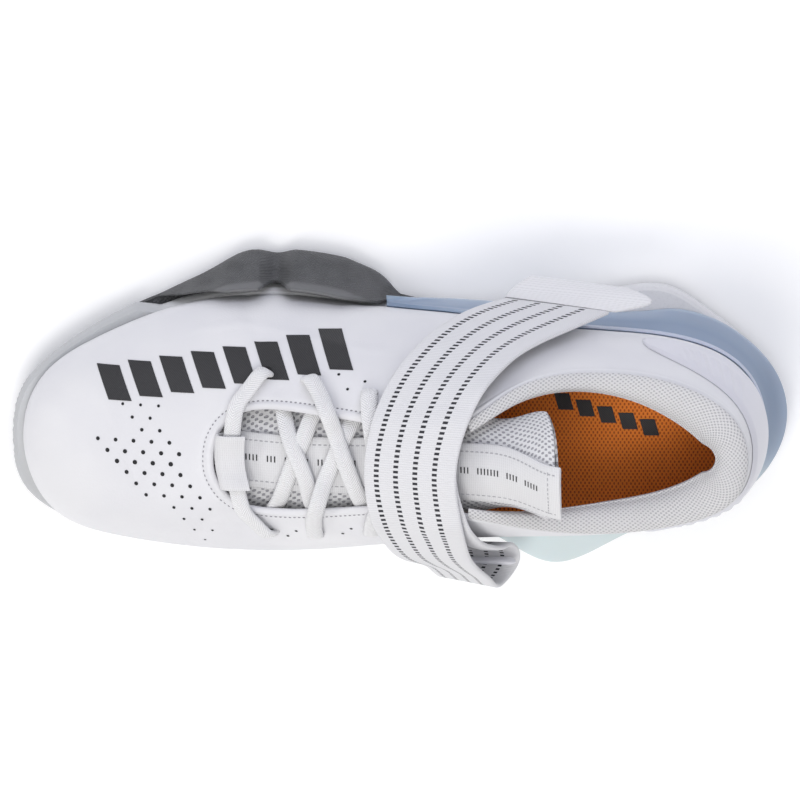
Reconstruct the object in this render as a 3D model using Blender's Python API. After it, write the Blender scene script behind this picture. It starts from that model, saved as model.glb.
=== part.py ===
"""A right weightlifting shoe: hollow upper, stiff heel wedge, foam midsole, rubber outsole, lace and strap.

Run it in Blender. Lengths are millimetres in the shoe's own frame, and become metres as each mesh is made:
X runs from the back of the heel to the toe, +Y is the medial side, Z is up from the floor.
"""

from collections import namedtuple

import bpy
import numpy as np
from mathutils import Matrix

METRES = 0.001

# Driving sizes
LENGTH = 300.0
BALL_WIDTH = 106.0
COLLAR_HEIGHT = 97.0
HEEL_STACK = 34.0
FOREFOOT_STACK = 17.0
TOE_SPRING = 9.0
TOE_THINNING = 4.0
HEEL_BEVEL = 1.6
SEAT_GAP = 0.3

# Sole
OUTSOLE_THICKNESS = 3.8
LUG_DEPTH = 1.8
LUG_PITCH = 20.0
LUG_GROOVE = 3.2
OUTSOLE_INSET = 1.2
BASE_HEIGHT = 12.0
PLATE_LIP = 3.0
PLATE_TUCK = 1.5
CUP_WALL = 1.6
CUP_HEIGHT = 13.0
WRAP_HEIGHT = 31.0
WRAP_FLARE = 8.2
WRAP_WALL = 2.2

# Upper and what is sewn to it
UPPER_WALL = 2.0
COUNTER_WALL = 1.2
INSOLE_THICKNESS = 3.5
INSOLE_RIM = 3.0
INSOLE_RIM_WIDTH = 5.0
TONGUE_THICKNESS = 4.5
TONGUE_FILL = 0.4
TONGUE_CORNER = 0.03
WEBBING = 1.2
LABEL_GAP = 0.6
LABEL_WIDTH = 20.0

# Lace and strap
LACE_WIDTH = 6.4
LACE_THICKNESS = 2.8
STRAP_THICKNESS = 1.8
TAB_THICKNESS = 1.6
KEEPER_WIDTH = 6.0
KEEPER_THICKNESS = 2.6

# Mesh fineness
SOLE_STATIONS = 32
UPPER_COLUMNS = 58
UPPER_RINGS = 10
PLATE_COLUMNS = 21
DENSE = 720

# Footprint of the sole, once round from the heel. Along is a share of LENGTH. The others are shares of
# BALL_WIDTH: across is medial, and base and plate say how far the foam base and heel wedge stand inside it.
Outline = namedtuple("Outline", "name along across base plate")
FOOTPRINT_ROWS = (
    Outline("heel_back", 0.000, 0.000, 0.022, 0.000),
    Outline("medial_heel_curve", 0.017, 0.160, 0.022, 0.000),
    Outline("medial_heel_corner", 0.053, 0.278, 0.022, 0.000),
    Outline("medial_heel", 0.113, 0.358, 0.020, 0.000),
    Outline("medial_waist_back", 0.205, 0.438, 0.030, 0.000),
    Outline("medial_wing", 0.304, 0.548, 0.066, 0.000),
    Outline("medial_arch", 0.380, 0.446, 0.020, 0.000),
    Outline("medial_arch_front", 0.487, 0.420, 0.000, 0.020),
    Outline("medial_ball_back", 0.587, 0.448, 0.000, 0.020),
    Outline("medial_ball", 0.683, 0.476, 0.000, 0.020),
    Outline("medial_ball_front", 0.780, 0.464, 0.000, 0.020),
    Outline("medial_toe_side", 0.867, 0.430, 0.000, 0.020),
    Outline("medial_toe_corner", 0.940, 0.362, 0.000, 0.020),
    Outline("medial_toe_curve", 0.984, 0.260, 0.000, 0.020),
    Outline("toe_tip", 1.000, 0.066, 0.000, 0.020),
    Outline("lateral_toe_curve", 0.984, -0.128, 0.000, 0.020),
    Outline("lateral_toe_corner", 0.943, -0.245, 0.000, 0.020),
    Outline("lateral_toe_side", 0.877, -0.363, 0.000, 0.020),
    Outline("lateral_ball_front", 0.790, -0.468, 0.000, 0.020),
    Outline("lateral_ball", 0.693, -0.526, 0.000, 0.020),
    Outline("lateral_ball_back", 0.600, -0.515, 0.000, 0.020),
    Outline("lateral_arch_front", 0.500, -0.464, 0.020, 0.000),
    Outline("lateral_arch", 0.393, -0.432, 0.030, 0.000),
    Outline("lateral_arch_back", 0.293, -0.440, 0.006, 0.040),
    Outline("lateral_outrigger_front", 0.220, -0.462, 0.000, 0.078),
    Outline("lateral_outrigger", 0.160, -0.474, 0.000, 0.082),
    Outline("lateral_heel", 0.103, -0.390, 0.004, 0.020),
    Outline("lateral_heel_corner", 0.050, -0.282, 0.014, 0.002),
    Outline("lateral_heel_curve", 0.015, -0.165, 0.020, 0.000),
)

# Foot bed between forefoot height, 0, and heel height, 1, along the shoe
Bed = namedtuple("Bed", "along drop")
BED_ROWS = (
    Bed(0.00, 1.00),
    Bed(0.10, 1.00),
    Bed(0.22, 0.96),
    Bed(0.34, 0.70),
    Bed(0.46, 0.30),
    Bed(0.56, 0.06),
    Bed(0.66, 0.00),
    Bed(1.00, 0.00),
)
TOE_SPRING_START = 0.66
WEDGE_START = 0.42
WEDGE_END = 0.56
PLATE_FRONT = 0.515
HEEL_BEVEL_END = 0.05

# The upper, a row for each section from the sole (foot) to the throat or collar (edge), once round from the
# heel. Along is a share of LENGTH, across of BALL_WIDTH, up of COLLAR_HEIGHT and bulge of BALL_WIDTH.
# Fullness squares the section's shoulder, and ramp is how much of its rise is a straight slope.
# Pad is the collar's thickness, a share of BALL_WIDTH.
Section = namedtuple("Section", "name foot_along foot_across along across up bulge fullness ramp pad")
UPPER_ROWS = (
    Section("heel_back", 0.040, 0.000, 0.056, 0.000, 1.000, 0.030, 2.0, 0.55, 0.095),
    Section("medial_heel_corner", 0.058, 0.168, 0.074, 0.144, 0.985, 0.023, 2.0, 0.55, 0.124),
    Section("medial_heel", 0.125, 0.282, 0.145, 0.250, 0.900, 0.021, 2.0, 0.55, 0.112),
    Section("medial_ankle", 0.215, 0.335, 0.235, 0.294, 0.835, 0.030, 2.0, 0.55, 0.090),
    Section("medial_collar_front", 0.310, 0.352, 0.335, 0.262, 0.900, 0.034, 2.0, 0.50, 0.040),
    Section("medial_instep", 0.400, 0.372, 0.420, 0.205, 0.955, 0.032, 2.0, 0.42, 0.010),
    Section("medial_throat", 0.500, 0.410, 0.500, 0.203, 0.842, 0.030, 2.1, 0.36, 0.020),
    Section("medial_ball", 0.605, 0.447, 0.600, 0.240, 0.715, 0.028, 2.2, 0.34, 0.020),
    Section("medial_throat_corner", 0.740, 0.452, 0.682, 0.245, 0.632, 0.026, 2.3, 0.38, 0.020),
    Section("medial_toe_side", 0.868, 0.406, 0.714, 0.200, 0.618, 0.020, 2.5, 0.37, 0.020),
    Section("medial_toe", 0.944, 0.326, 0.728, 0.140, 0.614, 0.014, 2.6, 0.41, 0.020),
    Section("toe_tip", 0.984, 0.066, 0.732, 0.068, 0.612, 0.008, 2.6, 0.43, 0.020),
    Section("lateral_toe", 0.958, -0.165, 0.727, -0.005, 0.616, 0.010, 2.6, 0.41, 0.020),
    Section("lateral_toe_side", 0.890, -0.300, 0.711, -0.072, 0.625, 0.014, 2.5, 0.37, 0.020),
    Section("lateral_ball_front", 0.785, -0.416, 0.677, -0.118, 0.645, 0.016, 2.3, 0.40, 0.020),
    Section("lateral_ball", 0.640, -0.455, 0.605, -0.118, 0.722, 0.012, 2.2, 0.38, 0.020),
    Section("lateral_throat", 0.515, -0.415, 0.510, -0.096, 0.845, 0.016, 2.1, 0.38, 0.020),
    Section("lateral_instep", 0.410, -0.395, 0.425, -0.110, 0.960, 0.026, 2.0, 0.42, 0.010),
    Section("lateral_collar_front", 0.318, -0.362, 0.345, -0.250, 0.915, 0.030, 2.0, 0.50, 0.040),
    Section("lateral_ankle", 0.218, -0.338, 0.240, -0.292, 0.845, 0.032, 2.0, 0.55, 0.060),
    Section("lateral_heel", 0.125, -0.300, 0.145, -0.262, 0.905, 0.032, 2.0, 0.55, 0.114),
    Section("lateral_heel_corner", 0.058, -0.180, 0.074, -0.152, 0.985, 0.032, 2.0, 0.55, 0.126),
)

# The tongue's middle line from the throat to its top. Width is half the tongue's, and drop is how far its
# edges hang below the middle: shares of LENGTH, BALL_WIDTH and COLLAR_HEIGHT as above. Label is the webbing's
# middle, a share of the tongue's half width toward the medial side.
Tongue = namedtuple("Tongue", "name along across up width drop label")
TONGUE_ROWS = (
    Tongue("tip", 0.742, 0.070, 0.520, 0.170, 0.040, 0.00),
    Tongue("throat", 0.610, 0.068, 0.680, 0.235, 0.090, 0.03),
    Tongue("mid_throat", 0.500, 0.056, 0.805, 0.216, 0.130, 0.02),
    Tongue("instep", 0.420, 0.048, 0.930, 0.200, 0.135, 0.02),
    Tongue("collar", 0.353, 0.026, 1.065, 0.164, 0.170, 0.12),
    Tongue("top", 0.310, 0.022, 1.190, 0.196, 0.235, 0.24),
    Tongue("top_edge", 0.297, 0.022, 1.232, 0.195, 0.225, 0.26),
    Tongue("pull_end", 0.286, 0.022, 1.256, 0.192, 0.220, 0.27),
)

# A strap row gives its front and rear edges, and the least room over what is under it, in millimetres.
# The strap runs from its lateral anchor over the instep, round the medial keeper and back again.
Band = namedtuple("Band", "name front_along front_across front_up rear_along rear_across rear_up room")
STRAP_ROWS = (
    Band("anchor", 0.372, -0.420, 0.345, 0.255, -0.400, 0.385, 0.5),
    Band("lateral_side", 0.405, -0.415, 0.480, 0.290, -0.400, 0.520, 0.5),
    Band("lateral_shoulder", 0.455, -0.345, 0.720, 0.345, -0.340, 0.780, 0.5),
    Band("lateral_instep", 0.515, -0.150, 0.850, 0.405, -0.150, 0.960, 2.8),
    Band("crest", 0.530, 0.050, 0.880, 0.422, 0.050, 1.000, 2.4),
    Band("medial_instep", 0.518, 0.230, 0.820, 0.405, 0.235, 0.930, 2.2),
    Band("medial_shoulder", 0.488, 0.345, 0.700, 0.385, 0.345, 0.760, 0.5),
    Band("medial_side", 0.470, 0.410, 0.540, 0.365, 0.405, 0.570, 0.5),
    Band("inner_low", 0.448, 0.425, 0.390, 0.352, 0.430, 0.420, 1.0),
    Band("turn", 0.437, 0.480, 0.318, 0.347, 0.500, 0.350, 5.0),
    Band("outer_low", 0.440, 0.535, 0.370, 0.362, 0.560, 0.400, 8.5),
    Band("outer_side", 0.458, 0.480, 0.540, 0.380, 0.528, 0.570, 4.5),
    Band("outer_shoulder", 0.489, 0.400, 0.740, 0.402, 0.410, 0.800, 3.4),
    Band("outer_medial_instep", 0.522, 0.240, 0.860, 0.414, 0.240, 0.980, 5.4),
    Band("outer_crest", 0.533, 0.045, 0.920, 0.422, 0.045, 1.040, 5.4),
    Band("outer_lateral_instep", 0.518, -0.160, 0.890, 0.402, -0.165, 1.000, 5.4),
    Band("outer_lateral_shoulder", 0.470, -0.360, 0.740, 0.345, -0.345, 0.820, 3.8),
    Band("outer_lateral_side", 0.410, -0.455, 0.560, 0.285, -0.405, 0.640, 4.0),
    Band("seam", 0.361, -0.487, 0.465, 0.232, -0.443, 0.490, 6.0),
)
HOOK_TAB_ROWS = (
    Band("seam", 0.359, -0.491, 0.452, 0.222, -0.447, 0.490, 6.0),
    Band("middle", 0.345, -0.525, 0.400, 0.178, -0.485, 0.455, 6.0),
    Band("end", 0.328, -0.553, 0.362, 0.205, -0.512, 0.400, 6.0),
)
STRAP_AXIS = (5.0, 42.0)
KEEPER_ENDS = ((0.453, 0.488, 0.388), (0.349, 0.490, 0.412))

# The rubber that wraps up the lateral forefoot in two lobes: its height and flare as shares of the full
# ones, and how far the foam is cut back to let it in
Wrap = namedtuple("Wrap", "name along height flare recess")
WRAP_ROWS = (
    Wrap("recess_back", 0.470, 0.00, 0.00, 0.0),
    Wrap("back", 0.497, 0.00, 0.00, 1.0),
    Wrap("back_corner", 0.517, 0.55, 0.50, 1.0),
    Wrap("back_lobe", 0.553, 0.88, 0.88, 1.0),
    Wrap("back_lobe_front", 0.637, 1.00, 1.00, 1.0),
    Wrap("notch", 0.657, 0.45, 0.80, 1.0),
    Wrap("front_lobe_back", 0.677, 0.98, 0.97, 1.0),
    Wrap("front_lobe", 0.733, 0.84, 0.52, 1.0),
    Wrap("front_corner", 0.787, 0.42, 0.10, 1.0),
    Wrap("front", 0.813, 0.00, 0.00, 1.0),
    Wrap("recess_front", 0.840, 0.00, 0.00, 0.0),
)

# The lace's strands over the throat, front to back. Along and across are a place in plan, shares of LENGTH
# and BALL_WIDTH. Lift is the middle's height in millimetres off the upper or the tongue, as over says.
Lace = namedtuple("Lace", "strand along across over lift")
LACE_ROWS = (
    Lace("bar", 0.665, -0.242, "upper", 2.3),
    Lace("bar", 0.680, -0.194, "upper", 2.4),
    Lace("bar", 0.697, -0.128, "upper", 3.4),
    Lace("bar", 0.705, -0.062, "tongue", 12.2),
    Lace("bar", 0.708, 0.012, "tongue", 8.4),
    Lace("bar", 0.708, 0.090, "tongue", 6.6),
    Lace("bar", 0.701, 0.172, "tongue", 9.6),
    Lace("bar", 0.690, 0.250, "upper", 2.4),
    Lace("bar", 0.676, 0.296, "upper", 2.4),
    Lace("bar", 0.660, 0.342, "upper", 2.3),
    Lace("first_over", 0.642, -0.132, "tongue", 3.9),
    Lace("first_over", 0.639, -0.085, "tongue", 4.3),
    Lace("first_over", 0.630, -0.002, "tongue", 5.8),
    Lace("first_over", 0.619, 0.072, "tongue", 5.8),
    Lace("first_over", 0.611, 0.145, "tongue", 4.5),
    Lace("first_over", 0.607, 0.205, "tongue", 3.4),
    Lace("first_over", 0.603, 0.238, "tongue", 2.6),
    Lace("first_under", 0.655, 0.250, "tongue", 2.4),
    Lace("first_under", 0.650, 0.226, "tongue", 2.8),
    Lace("first_under", 0.641, 0.162, "tongue", 4.5),
    Lace("first_under", 0.632, 0.094, "tongue", 4.2),
    Lace("first_under", 0.623, 0.027, "tongue", 4.2),
    Lace("first_under", 0.613, -0.040, "tongue", 4.2),
    Lace("first_under", 0.605, -0.096, "tongue", 4.0),
    Lace("first_under", 0.600, -0.122, "tongue", 4.0),
    Lace("second_over", 0.605, -0.226, "upper", 2.3),
    Lace("second_over", 0.593, -0.182, "upper", 2.4),
    Lace("second_over", 0.582, -0.124, "tongue", 14.0),
    Lace("second_over", 0.573, -0.048, "tongue", 7.2),
    Lace("second_over", 0.564, 0.026, "tongue", 6.2),
    Lace("second_over", 0.555, 0.100, "tongue", 5.0),
    Lace("second_over", 0.546, 0.172, "tongue", 4.2),
    Lace("second_over", 0.540, 0.212, "tongue", 3.0),
    Lace("second_under", 0.601, 0.336, "upper", 2.3),
    Lace("second_under", 0.602, 0.284, "upper", 2.4),
    Lace("second_under", 0.597, 0.205, "tongue", 11.5),
    Lace("second_under", 0.588, 0.125, "tongue", 6.2),
    Lace("second_under", 0.578, 0.055, "tongue", 4.4),
    Lace("second_under", 0.567, -0.019, "tongue", 4.4),
    Lace("second_under", 0.557, -0.070, "tongue", 4.2),
    Lace("second_under", 0.550, -0.102, "tongue", 4.0),
    Lace("third_over", 0.529, -0.190, "upper", 2.3),
    Lace("third_over", 0.528, -0.150, "upper", 3.0),
    Lace("third_over", 0.527, -0.080, "tongue", 12.0),
    Lace("third_over", 0.524, -0.010, "tongue", 6.0),
    Lace("third_over", 0.519, 0.075, "tongue", 5.6),
    Lace("third_over", 0.513, 0.150, "tongue", 6.3),
    Lace("third_over", 0.508, 0.202, "tongue", 3.1),
    Lace("third_under", 0.530, 0.310, "upper", 2.3),
    Lace("third_under", 0.526, 0.258, "upper", 2.4),
    Lace("third_under", 0.514, 0.170, "tongue", 9.9),
    Lace("third_under", 0.500, 0.080, "tongue", 5.8),
    Lace("third_under", 0.490, 0.000, "tongue", 5.4),
    Lace("third_under", 0.481, -0.070, "tongue", 4.8),
    Lace("third_under", 0.478, -0.098, "tongue", 4.0),
)


def spline(knots, values, period=None):
    """A smooth cubic through the values at the knots, closed if a period is given."""
    t = np.asarray(knots, float)
    y = np.asarray(values, float).reshape(len(t), -1)
    n = len(t)
    ends = np.append(t, t[0] + period) if period else t
    h = np.diff(ends)
    rise = (np.roll(y, -1, axis=0) - y)[: len(h)] / h[:, None]
    system = np.zeros((n, n))
    right = np.zeros_like(y)
    for i in range(n):
        if period is None and i == 0:
            system[0, :2] = 2, 1
            right[0] = 3 * rise[0]
        elif period is None and i == n - 1:
            system[i, i - 1 :] = 1, 2
            right[i] = 3 * rise[-1]
        else:
            system[i, i - 1] += h[i]
            system[i, i] += 2 * (h[i - 1] + h[i])
            system[i, (i + 1) % n] += h[i - 1]
            right[i] = 3 * (h[i] * rise[i - 1] + h[i - 1] * rise[i])
    slope = np.linalg.solve(system, right)

    def at(u):
        u = np.asarray(u, float)
        if period:
            u = t[0] + np.mod(u - t[0], period)
        i = np.clip(np.searchsorted(ends, u, side="right") - 1, 0, len(h) - 1)
        j = (i + 1) % n
        w = h[i][..., None]
        s = np.clip((u - ends[i]) / h[i], 0, 1)[..., None]
        return (
            (1 + 2 * s) * (1 - s) ** 2 * y[i]
            + s * (1 - s) ** 2 * w * slope[i]
            + s**2 * (3 - 2 * s) * y[j]
            - s**2 * (1 - s) * w * slope[j]
        )

    return at


def shares_along(points, closed):
    """Each point's share of the way along its polyline, or round it."""
    points = np.asarray(points, float)
    steps = np.linalg.norm(np.diff(points, axis=0), axis=1)
    reach = np.concatenate([[0], np.cumsum(steps)])
    whole = reach[-1] + (np.linalg.norm(points[0] - points[-1]) if closed else 0)
    return reach / whole


def smooth_step(x):
    x = np.clip(x, 0, 1)
    return x * x * (3 - 2 * x)


def unit(vectors):
    return vectors / np.maximum(np.linalg.norm(vectors, axis=-1, keepdims=True), 1e-9)


def make_footprint():
    rows = np.array([row[1:] for row in FOOTPRINT_ROWS])
    rows = rows * (LENGTH, BALL_WIDTH, BALL_WIDTH, BALL_WIDTH)
    loop = spline(shares_along(rows[:, :2], closed=True), rows, period=1.0)
    return loop(np.arange(DENSE) / DENSE)


FOOTPRINT = make_footprint()


def nearest_footprint(point):
    """The footprint row nearest to a point in plan, between the dense ones."""
    start = FOOTPRINT
    step = np.roll(FOOTPRINT, -1, axis=0) - FOOTPRINT
    reach = ((point - start[:, :2]) * step[:, :2]).sum(1) / (step[:, :2] ** 2).sum(1)
    rows = start + np.clip(reach, 0, 1)[:, None] * step
    return rows[np.argmin(np.linalg.norm(rows[:, :2] - point, axis=1))]


def footprint_side(x, side):
    """The footprint's across, base and plate columns at x, on the medial side, +1, or the lateral one, -1."""
    first = np.argmin(FOOTPRINT[:, 0])
    loop = np.roll(FOOTPRINT, -first, axis=0)
    last = np.argmax(loop[:, 0])
    half = loop[: last + 1] if side > 0 else np.vstack([loop[last:], loop[:1]])[::-1]
    return np.stack([np.interp(x, half[:, 0], half[:, k]) for k in (1, 2, 3)], axis=-1)


def toe_share(x):
    start = TOE_SPRING_START * LENGTH
    return np.clip((x - start) / (LENGTH - start), 0, 1) ** 2


def ground(x):
    """The outsole's underside, with the toe spring and a small bevel at the heel."""
    bevel = np.clip(1 - np.asarray(x) / (HEEL_BEVEL_END * LENGTH), 0, 1) ** 2
    return TOE_SPRING * toe_share(x) + HEEL_BEVEL * bevel


BED = spline([row.along for row in BED_ROWS], [row.drop for row in BED_ROWS])


def footbed(x):
    """The sole's top under the foot."""
    drop = BED(np.asarray(x, float) / LENGTH)[..., 0]
    stack = FOREFOOT_STACK + (HEEL_STACK - FOREFOOT_STACK) * drop
    return stack + (TOE_SPRING - TOE_THINNING) * toe_share(x)


def midsole_top(x):
    """The foam's top: a low base under the heel wedge, the foot bed in front of it."""
    share = smooth_step((np.asarray(x) / LENGTH - WEDGE_START) / (WEDGE_END - WEDGE_START))
    return BASE_HEIGHT + share * (footbed(x) - BASE_HEIGHT)


def make_upper():
    rows = np.array([row[1:] for row in UPPER_ROWS])
    rows *= (LENGTH, BALL_WIDTH, LENGTH, BALL_WIDTH, COLLAR_HEIGHT, BALL_WIDTH, 1, 1, BALL_WIDTH)
    middle = (rows[:, :2] + rows[:, 2:4]) / 2
    knots = shares_along(middle, closed=True)
    return spline(knots, rows, period=1.0)


UPPER = make_upper()


def upper_outer(u, v):
    """A point of the upper's outer face: u goes once round, v from the sole to the throat or collar."""
    u, v = np.broadcast_arrays(np.asarray(u, float), np.asarray(v, float))
    row = UPPER(u)
    foot = row[..., :2]
    edge = row[..., 2:4]
    step = 1e-4
    along = UPPER(u + step)[..., :2] - UPPER(u - step)[..., :2]
    out = unit(np.stack([-along[..., 1], along[..., 0]], axis=-1))
    angle = v * np.pi / 2
    power = 2 / row[..., 6]
    inward = 1 - np.cos(angle) ** power
    climb = (1 - row[..., 7]) * np.sin(angle) ** power + row[..., 7] * inward
    swell = row[..., 5] * 6.75 * v * (1 - v) ** 2
    plan = foot + (edge - foot) * inward[..., None] + out * swell[..., None]
    low = footbed(row[..., 0]) + SEAT_GAP
    return np.concatenate([plan, (low + (row[..., 4] - low) * climb)[..., None]], axis=-1)


def upper_directions(u, v):
    """The outward normal, and the direction that climbs the wall."""
    step = 2e-3
    high, low = np.minimum(v + step, 1), np.maximum(v - step, 0)
    climb = upper_outer(u, high) - upper_outer(u, low)
    along = upper_outer(u + step, v) - upper_outer(u - step, v)
    return unit(np.cross(climb, along)), unit(climb)


def upper_point(u, v, depth=0.0, rise=0.0):
    """A point at a depth under the upper's outer face, and a rise beyond it up the wall."""
    u, v = np.broadcast_arrays(np.asarray(u, float), np.asarray(v, float))
    normal, climb = upper_directions(u, v)
    depth = np.broadcast_to(np.asarray(depth, float), u.shape)[..., None]
    rise = np.broadcast_to(np.asarray(rise, float), u.shape)[..., None]
    return upper_outer(u, v) - normal * depth + climb * rise


def material(name, colour, roughness, metallic=0.0, alpha=1.0):
    made = bpy.data.materials.new(name)
    made.use_nodes = True
    shader = made.node_tree.nodes["Principled BSDF"]
    shader.inputs["Base Color"].default_value = (*colour, 1.0)
    shader.inputs["Roughness"].default_value = roughness
    shader.inputs["Metallic"].default_value = metallic
    shader.inputs["Alpha"].default_value = alpha
    return made


def clear_scene():
    for item in list(bpy.data.objects):
        bpy.data.objects.remove(item, do_unlink=True)


def make_object(name, points, faces, finish):
    """One solid from points in millimetres, its faces turned outward."""
    mesh = bpy.data.meshes.new(name)
    mesh.from_pydata([tuple(p) for p in np.asarray(points) * METRES], [], faces)
    mesh.validate()
    corners = np.asarray(points)
    volume = 0.0
    for face in faces:
        for k in range(1, len(face) - 1):
            a, b, c = corners[face[0]], corners[face[k]], corners[face[k + 1]]
            volume += np.dot(a, np.cross(b, c))
    if volume < 0:
        mesh.flip_normals()
    mesh.shade_smooth()
    mesh.set_sharp_from_angle(angle=np.radians(40))
    mesh.materials.append(finish)
    made = bpy.data.objects.new(name, mesh)
    bpy.context.scene.collection.objects.link(made)
    return made


def quads(columns, rows, wrap):
    """Grid faces between neighbouring columns, over points stored column by column."""
    faces = []
    for i in range(columns if wrap else columns - 1):
        for j in range(rows - 1):
            a, b = i * rows + j, (i + 1) % columns * rows + j
            faces.append((a, b, b + 1, a + 1))
    return faces


def shell(name, outer, inner, wrap, finish):
    """A wall between two grids of points, closed round its edges."""
    columns, rows = outer.shape[:2]
    count = columns * rows
    faces = quads(columns, rows, wrap)
    faces += [tuple(count + k for k in reversed(face)) for face in faces]
    for i in range(columns if wrap else columns - 1):
        j = (i + 1) % columns
        for row in (0, rows - 1):
            a, b = i * rows + row, j * rows + row
            rim = (b, a, a + count, b + count)
            faces.append(rim if row == 0 else rim[::-1])
    if not wrap:
        for i in (0, columns - 1):
            for row in range(rows - 1):
                a, b = i * rows + row, i * rows + row + 1
                rim = (a, b, b + count, a + count)
                faces.append(rim if i == 0 else rim[::-1])
    points = np.concatenate([outer.reshape(-1, 3), inner.reshape(-1, 3)])
    return make_object(name, points, faces, finish)


def ladder_cap(left, right):
    """Faces across a solid, between the matching points of its two sides."""
    faces = []
    for i in range(len(left) - 1):
        face = (left[i], left[i + 1], right[i + 1], right[i])
        face = tuple(k for n, k in enumerate(face) if k not in face[:n])
        if len(face) > 2:
            faces.append(face)
    return faces


def ring_solid(name, columns, finish):
    """A solid with a closed outline. A column is its side's profile, bottom up; the first is the heel's."""
    count, rows = columns.shape[:2]
    faces = quads(count, rows, wrap=True)
    half = count // 2
    left = np.arange(half + 1)
    right = (count - left) % count
    for row, turned in ((0, True), (rows - 1, False)):
        cap = ladder_cap(list(left * rows + row), list(right * rows + row))
        faces += [face[::-1] for face in cap] if turned else cap
    return make_object(name, columns.reshape(-1, 3), faces, finish)


def open_ring_solid(name, columns, finish):
    """As a ring solid, but its two ends are joined by a flat face across the shoe."""
    count, rows = columns.shape[:2]
    faces = quads(count, rows, wrap=False)
    middle = count // 2
    left = [middle + i for i in range(middle + 1)]
    right = [middle - i for i in range(middle + 1)]
    for row, turned in ((0, True), (rows - 1, False)):
        cap = ladder_cap([k * rows + row for k in left], [k * rows + row for k in right])
        faces += [face[::-1] for face in cap] if turned else cap
    last = (count - 1) * rows
    faces.append(tuple(range(rows)) + tuple(last + k for k in reversed(range(rows))))
    return make_object(name, columns.reshape(-1, 3), faces, finish)


def section_solid(name, sections, finish):
    """A solid that runs through closed cross-sections, with a flat face at each end."""
    count, corners = sections.shape[:2]
    faces = []
    for i in range(count - 1):
        for j in range(corners):
            a, b = i * corners + j, i * corners + (j + 1) % corners
            faces.append((a, b, b + corners, a + corners))
    faces.append(tuple(reversed(range(corners))))
    faces.append(tuple((count - 1) * corners + j for j in range(corners)))
    return make_object(name, sections.reshape(-1, 3), faces, finish)


def side_stations(extra=()):
    """Stations along the sole, closer at its ends, with any extra ones."""
    low, high = FOOTPRINT[:, 0].min(), FOOTPRINT[:, 0].max()
    even = (1 - np.cos(np.linspace(0, np.pi, SOLE_STATIONS + 1))) / 2
    x = low + (high - low) * even
    if len(extra):
        x = np.array([k for k in x if np.abs(np.asarray(extra) - k).min() > 3.0 or k in (low, high)])
        x = np.sort(np.concatenate([x, extra]))
    return x


def round_the_sole(x):
    """Plan rows once round: x, across, base and plate, with the outward direction at each."""
    medial = np.column_stack([x, footprint_side(x, 1)])
    lateral = np.column_stack([x, footprint_side(x, -1)])[1:-1][::-1]
    rows = np.concatenate([medial, lateral])
    return rows, outward(rows[:, :2])


def side_columns(rows, out, profile):
    """Columns of a sole piece's side, from pairs: how far in, and the height by place along the shoe."""
    columns = []
    for inset, height in profile:
        plan = rows[:, :2] - out * inset[:, None]
        columns.append(np.column_stack([plan, height(plan[:, 0])]))
    return np.stack(columns, axis=1)


def groove_stations():
    """The three stations of each groove between the outsole's lug bars, and their depths."""
    first = HEEL_BEVEL_END * LENGTH + LUG_PITCH / 2
    centres = np.arange(first, LENGTH * 0.97, LUG_PITCH)
    half = LUG_GROOVE / 2
    x = np.concatenate([[centre - half, centre, centre + half] for centre in centres])
    depth = np.tile([0.0, LUG_DEPTH, 0.0], len(centres))
    return x, depth


def wrap_shares(rows):
    """The rubber wrap's height, flare and recess shares at each row, none on the medial side."""
    table = np.array([row[1:] for row in WRAP_ROWS])
    lateral = rows[:, 1] < 0
    place = rows[:, 0] / LENGTH
    height, flare = np.clip(spline(table[:, 0], table[:, 1:3])(place), 0, 1).T * lateral
    return height, flare, np.interp(place, table[:, 0], table[:, 3]) * lateral


def make_outsole(finish):
    """The rubber: a thin sheet cut into lug bars. Its lip rises into the wrap at the lateral forefoot."""
    grooves, depths = groove_stations()
    wrap_x = [row.along * LENGTH for row in WRAP_ROWS]
    extra = [k for k in wrap_x if np.abs(grooves - k).min() > 0.6]
    x = side_stations(np.sort(np.concatenate([grooves, extra])))
    rows, out = round_the_sole(x)
    known = {round(k, 6): d for k, d in zip(grooves, depths)}
    cut = np.array([known.get(round(k, 6), 0.0) for k in rows[:, 0]])
    tall, flare, _ = wrap_shares(rows)
    edge = OUTSOLE_INSET * (1 - flare) + rows[:, 2]
    bulge = edge - WRAP_FLARE * flare
    inner = edge + 1.0 + WRAP_WALL * flare

    def wrap_height(share, lip):
        sheet = OUTSOLE_THICKNESS - lip
        return lambda x: ground(x) + sheet + (WRAP_HEIGHT - ground(x) - sheet) * tall * share

    columns = side_columns(
        rows,
        out,
        (
            (edge + 0.8 - 1.8 * flare, lambda x: ground(x) + cut),
            (bulge + 1.4 * flare, lambda x: ground(x) + LUG_DEPTH + 0.3),
            (bulge, wrap_height(0.18, 1.0)),
            (edge + 0.2 * flare, wrap_height(0.75, 0.5)),
            (edge + 0.3 + 1.9 * flare, wrap_height(1.0, 0.0)),
            (inner + 0.4 * flare, wrap_height(1.0, 0.0)),
            (inner + 0.6, wrap_height(0.0, 0.0)),
        ),
    )
    return ring_solid("outsole", columns, finish)


def make_midsole(finish):
    ramp = np.linspace(WEDGE_START, WEDGE_END, 9) * LENGTH
    rows, out = round_the_sole(side_stations(ramp))
    inset = rows[:, 2] + (WRAP_WALL + 2.6) * wrap_shares(rows)[2]

    def side_height(share):
        return lambda x: (1 - share) * (ground(x) + OUTSOLE_THICKNESS + SEAT_GAP) + share * midsole_top(x)

    profile = ((1.0, 0.0), (0.0, 0.15), (0.0, 0.55), (0.8, 0.85), (2.0, 1.0))
    columns = side_columns(rows, out, [(inset + more, side_height(share)) for more, share in profile])
    return ring_solid("midsole", columns, finish)


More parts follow.
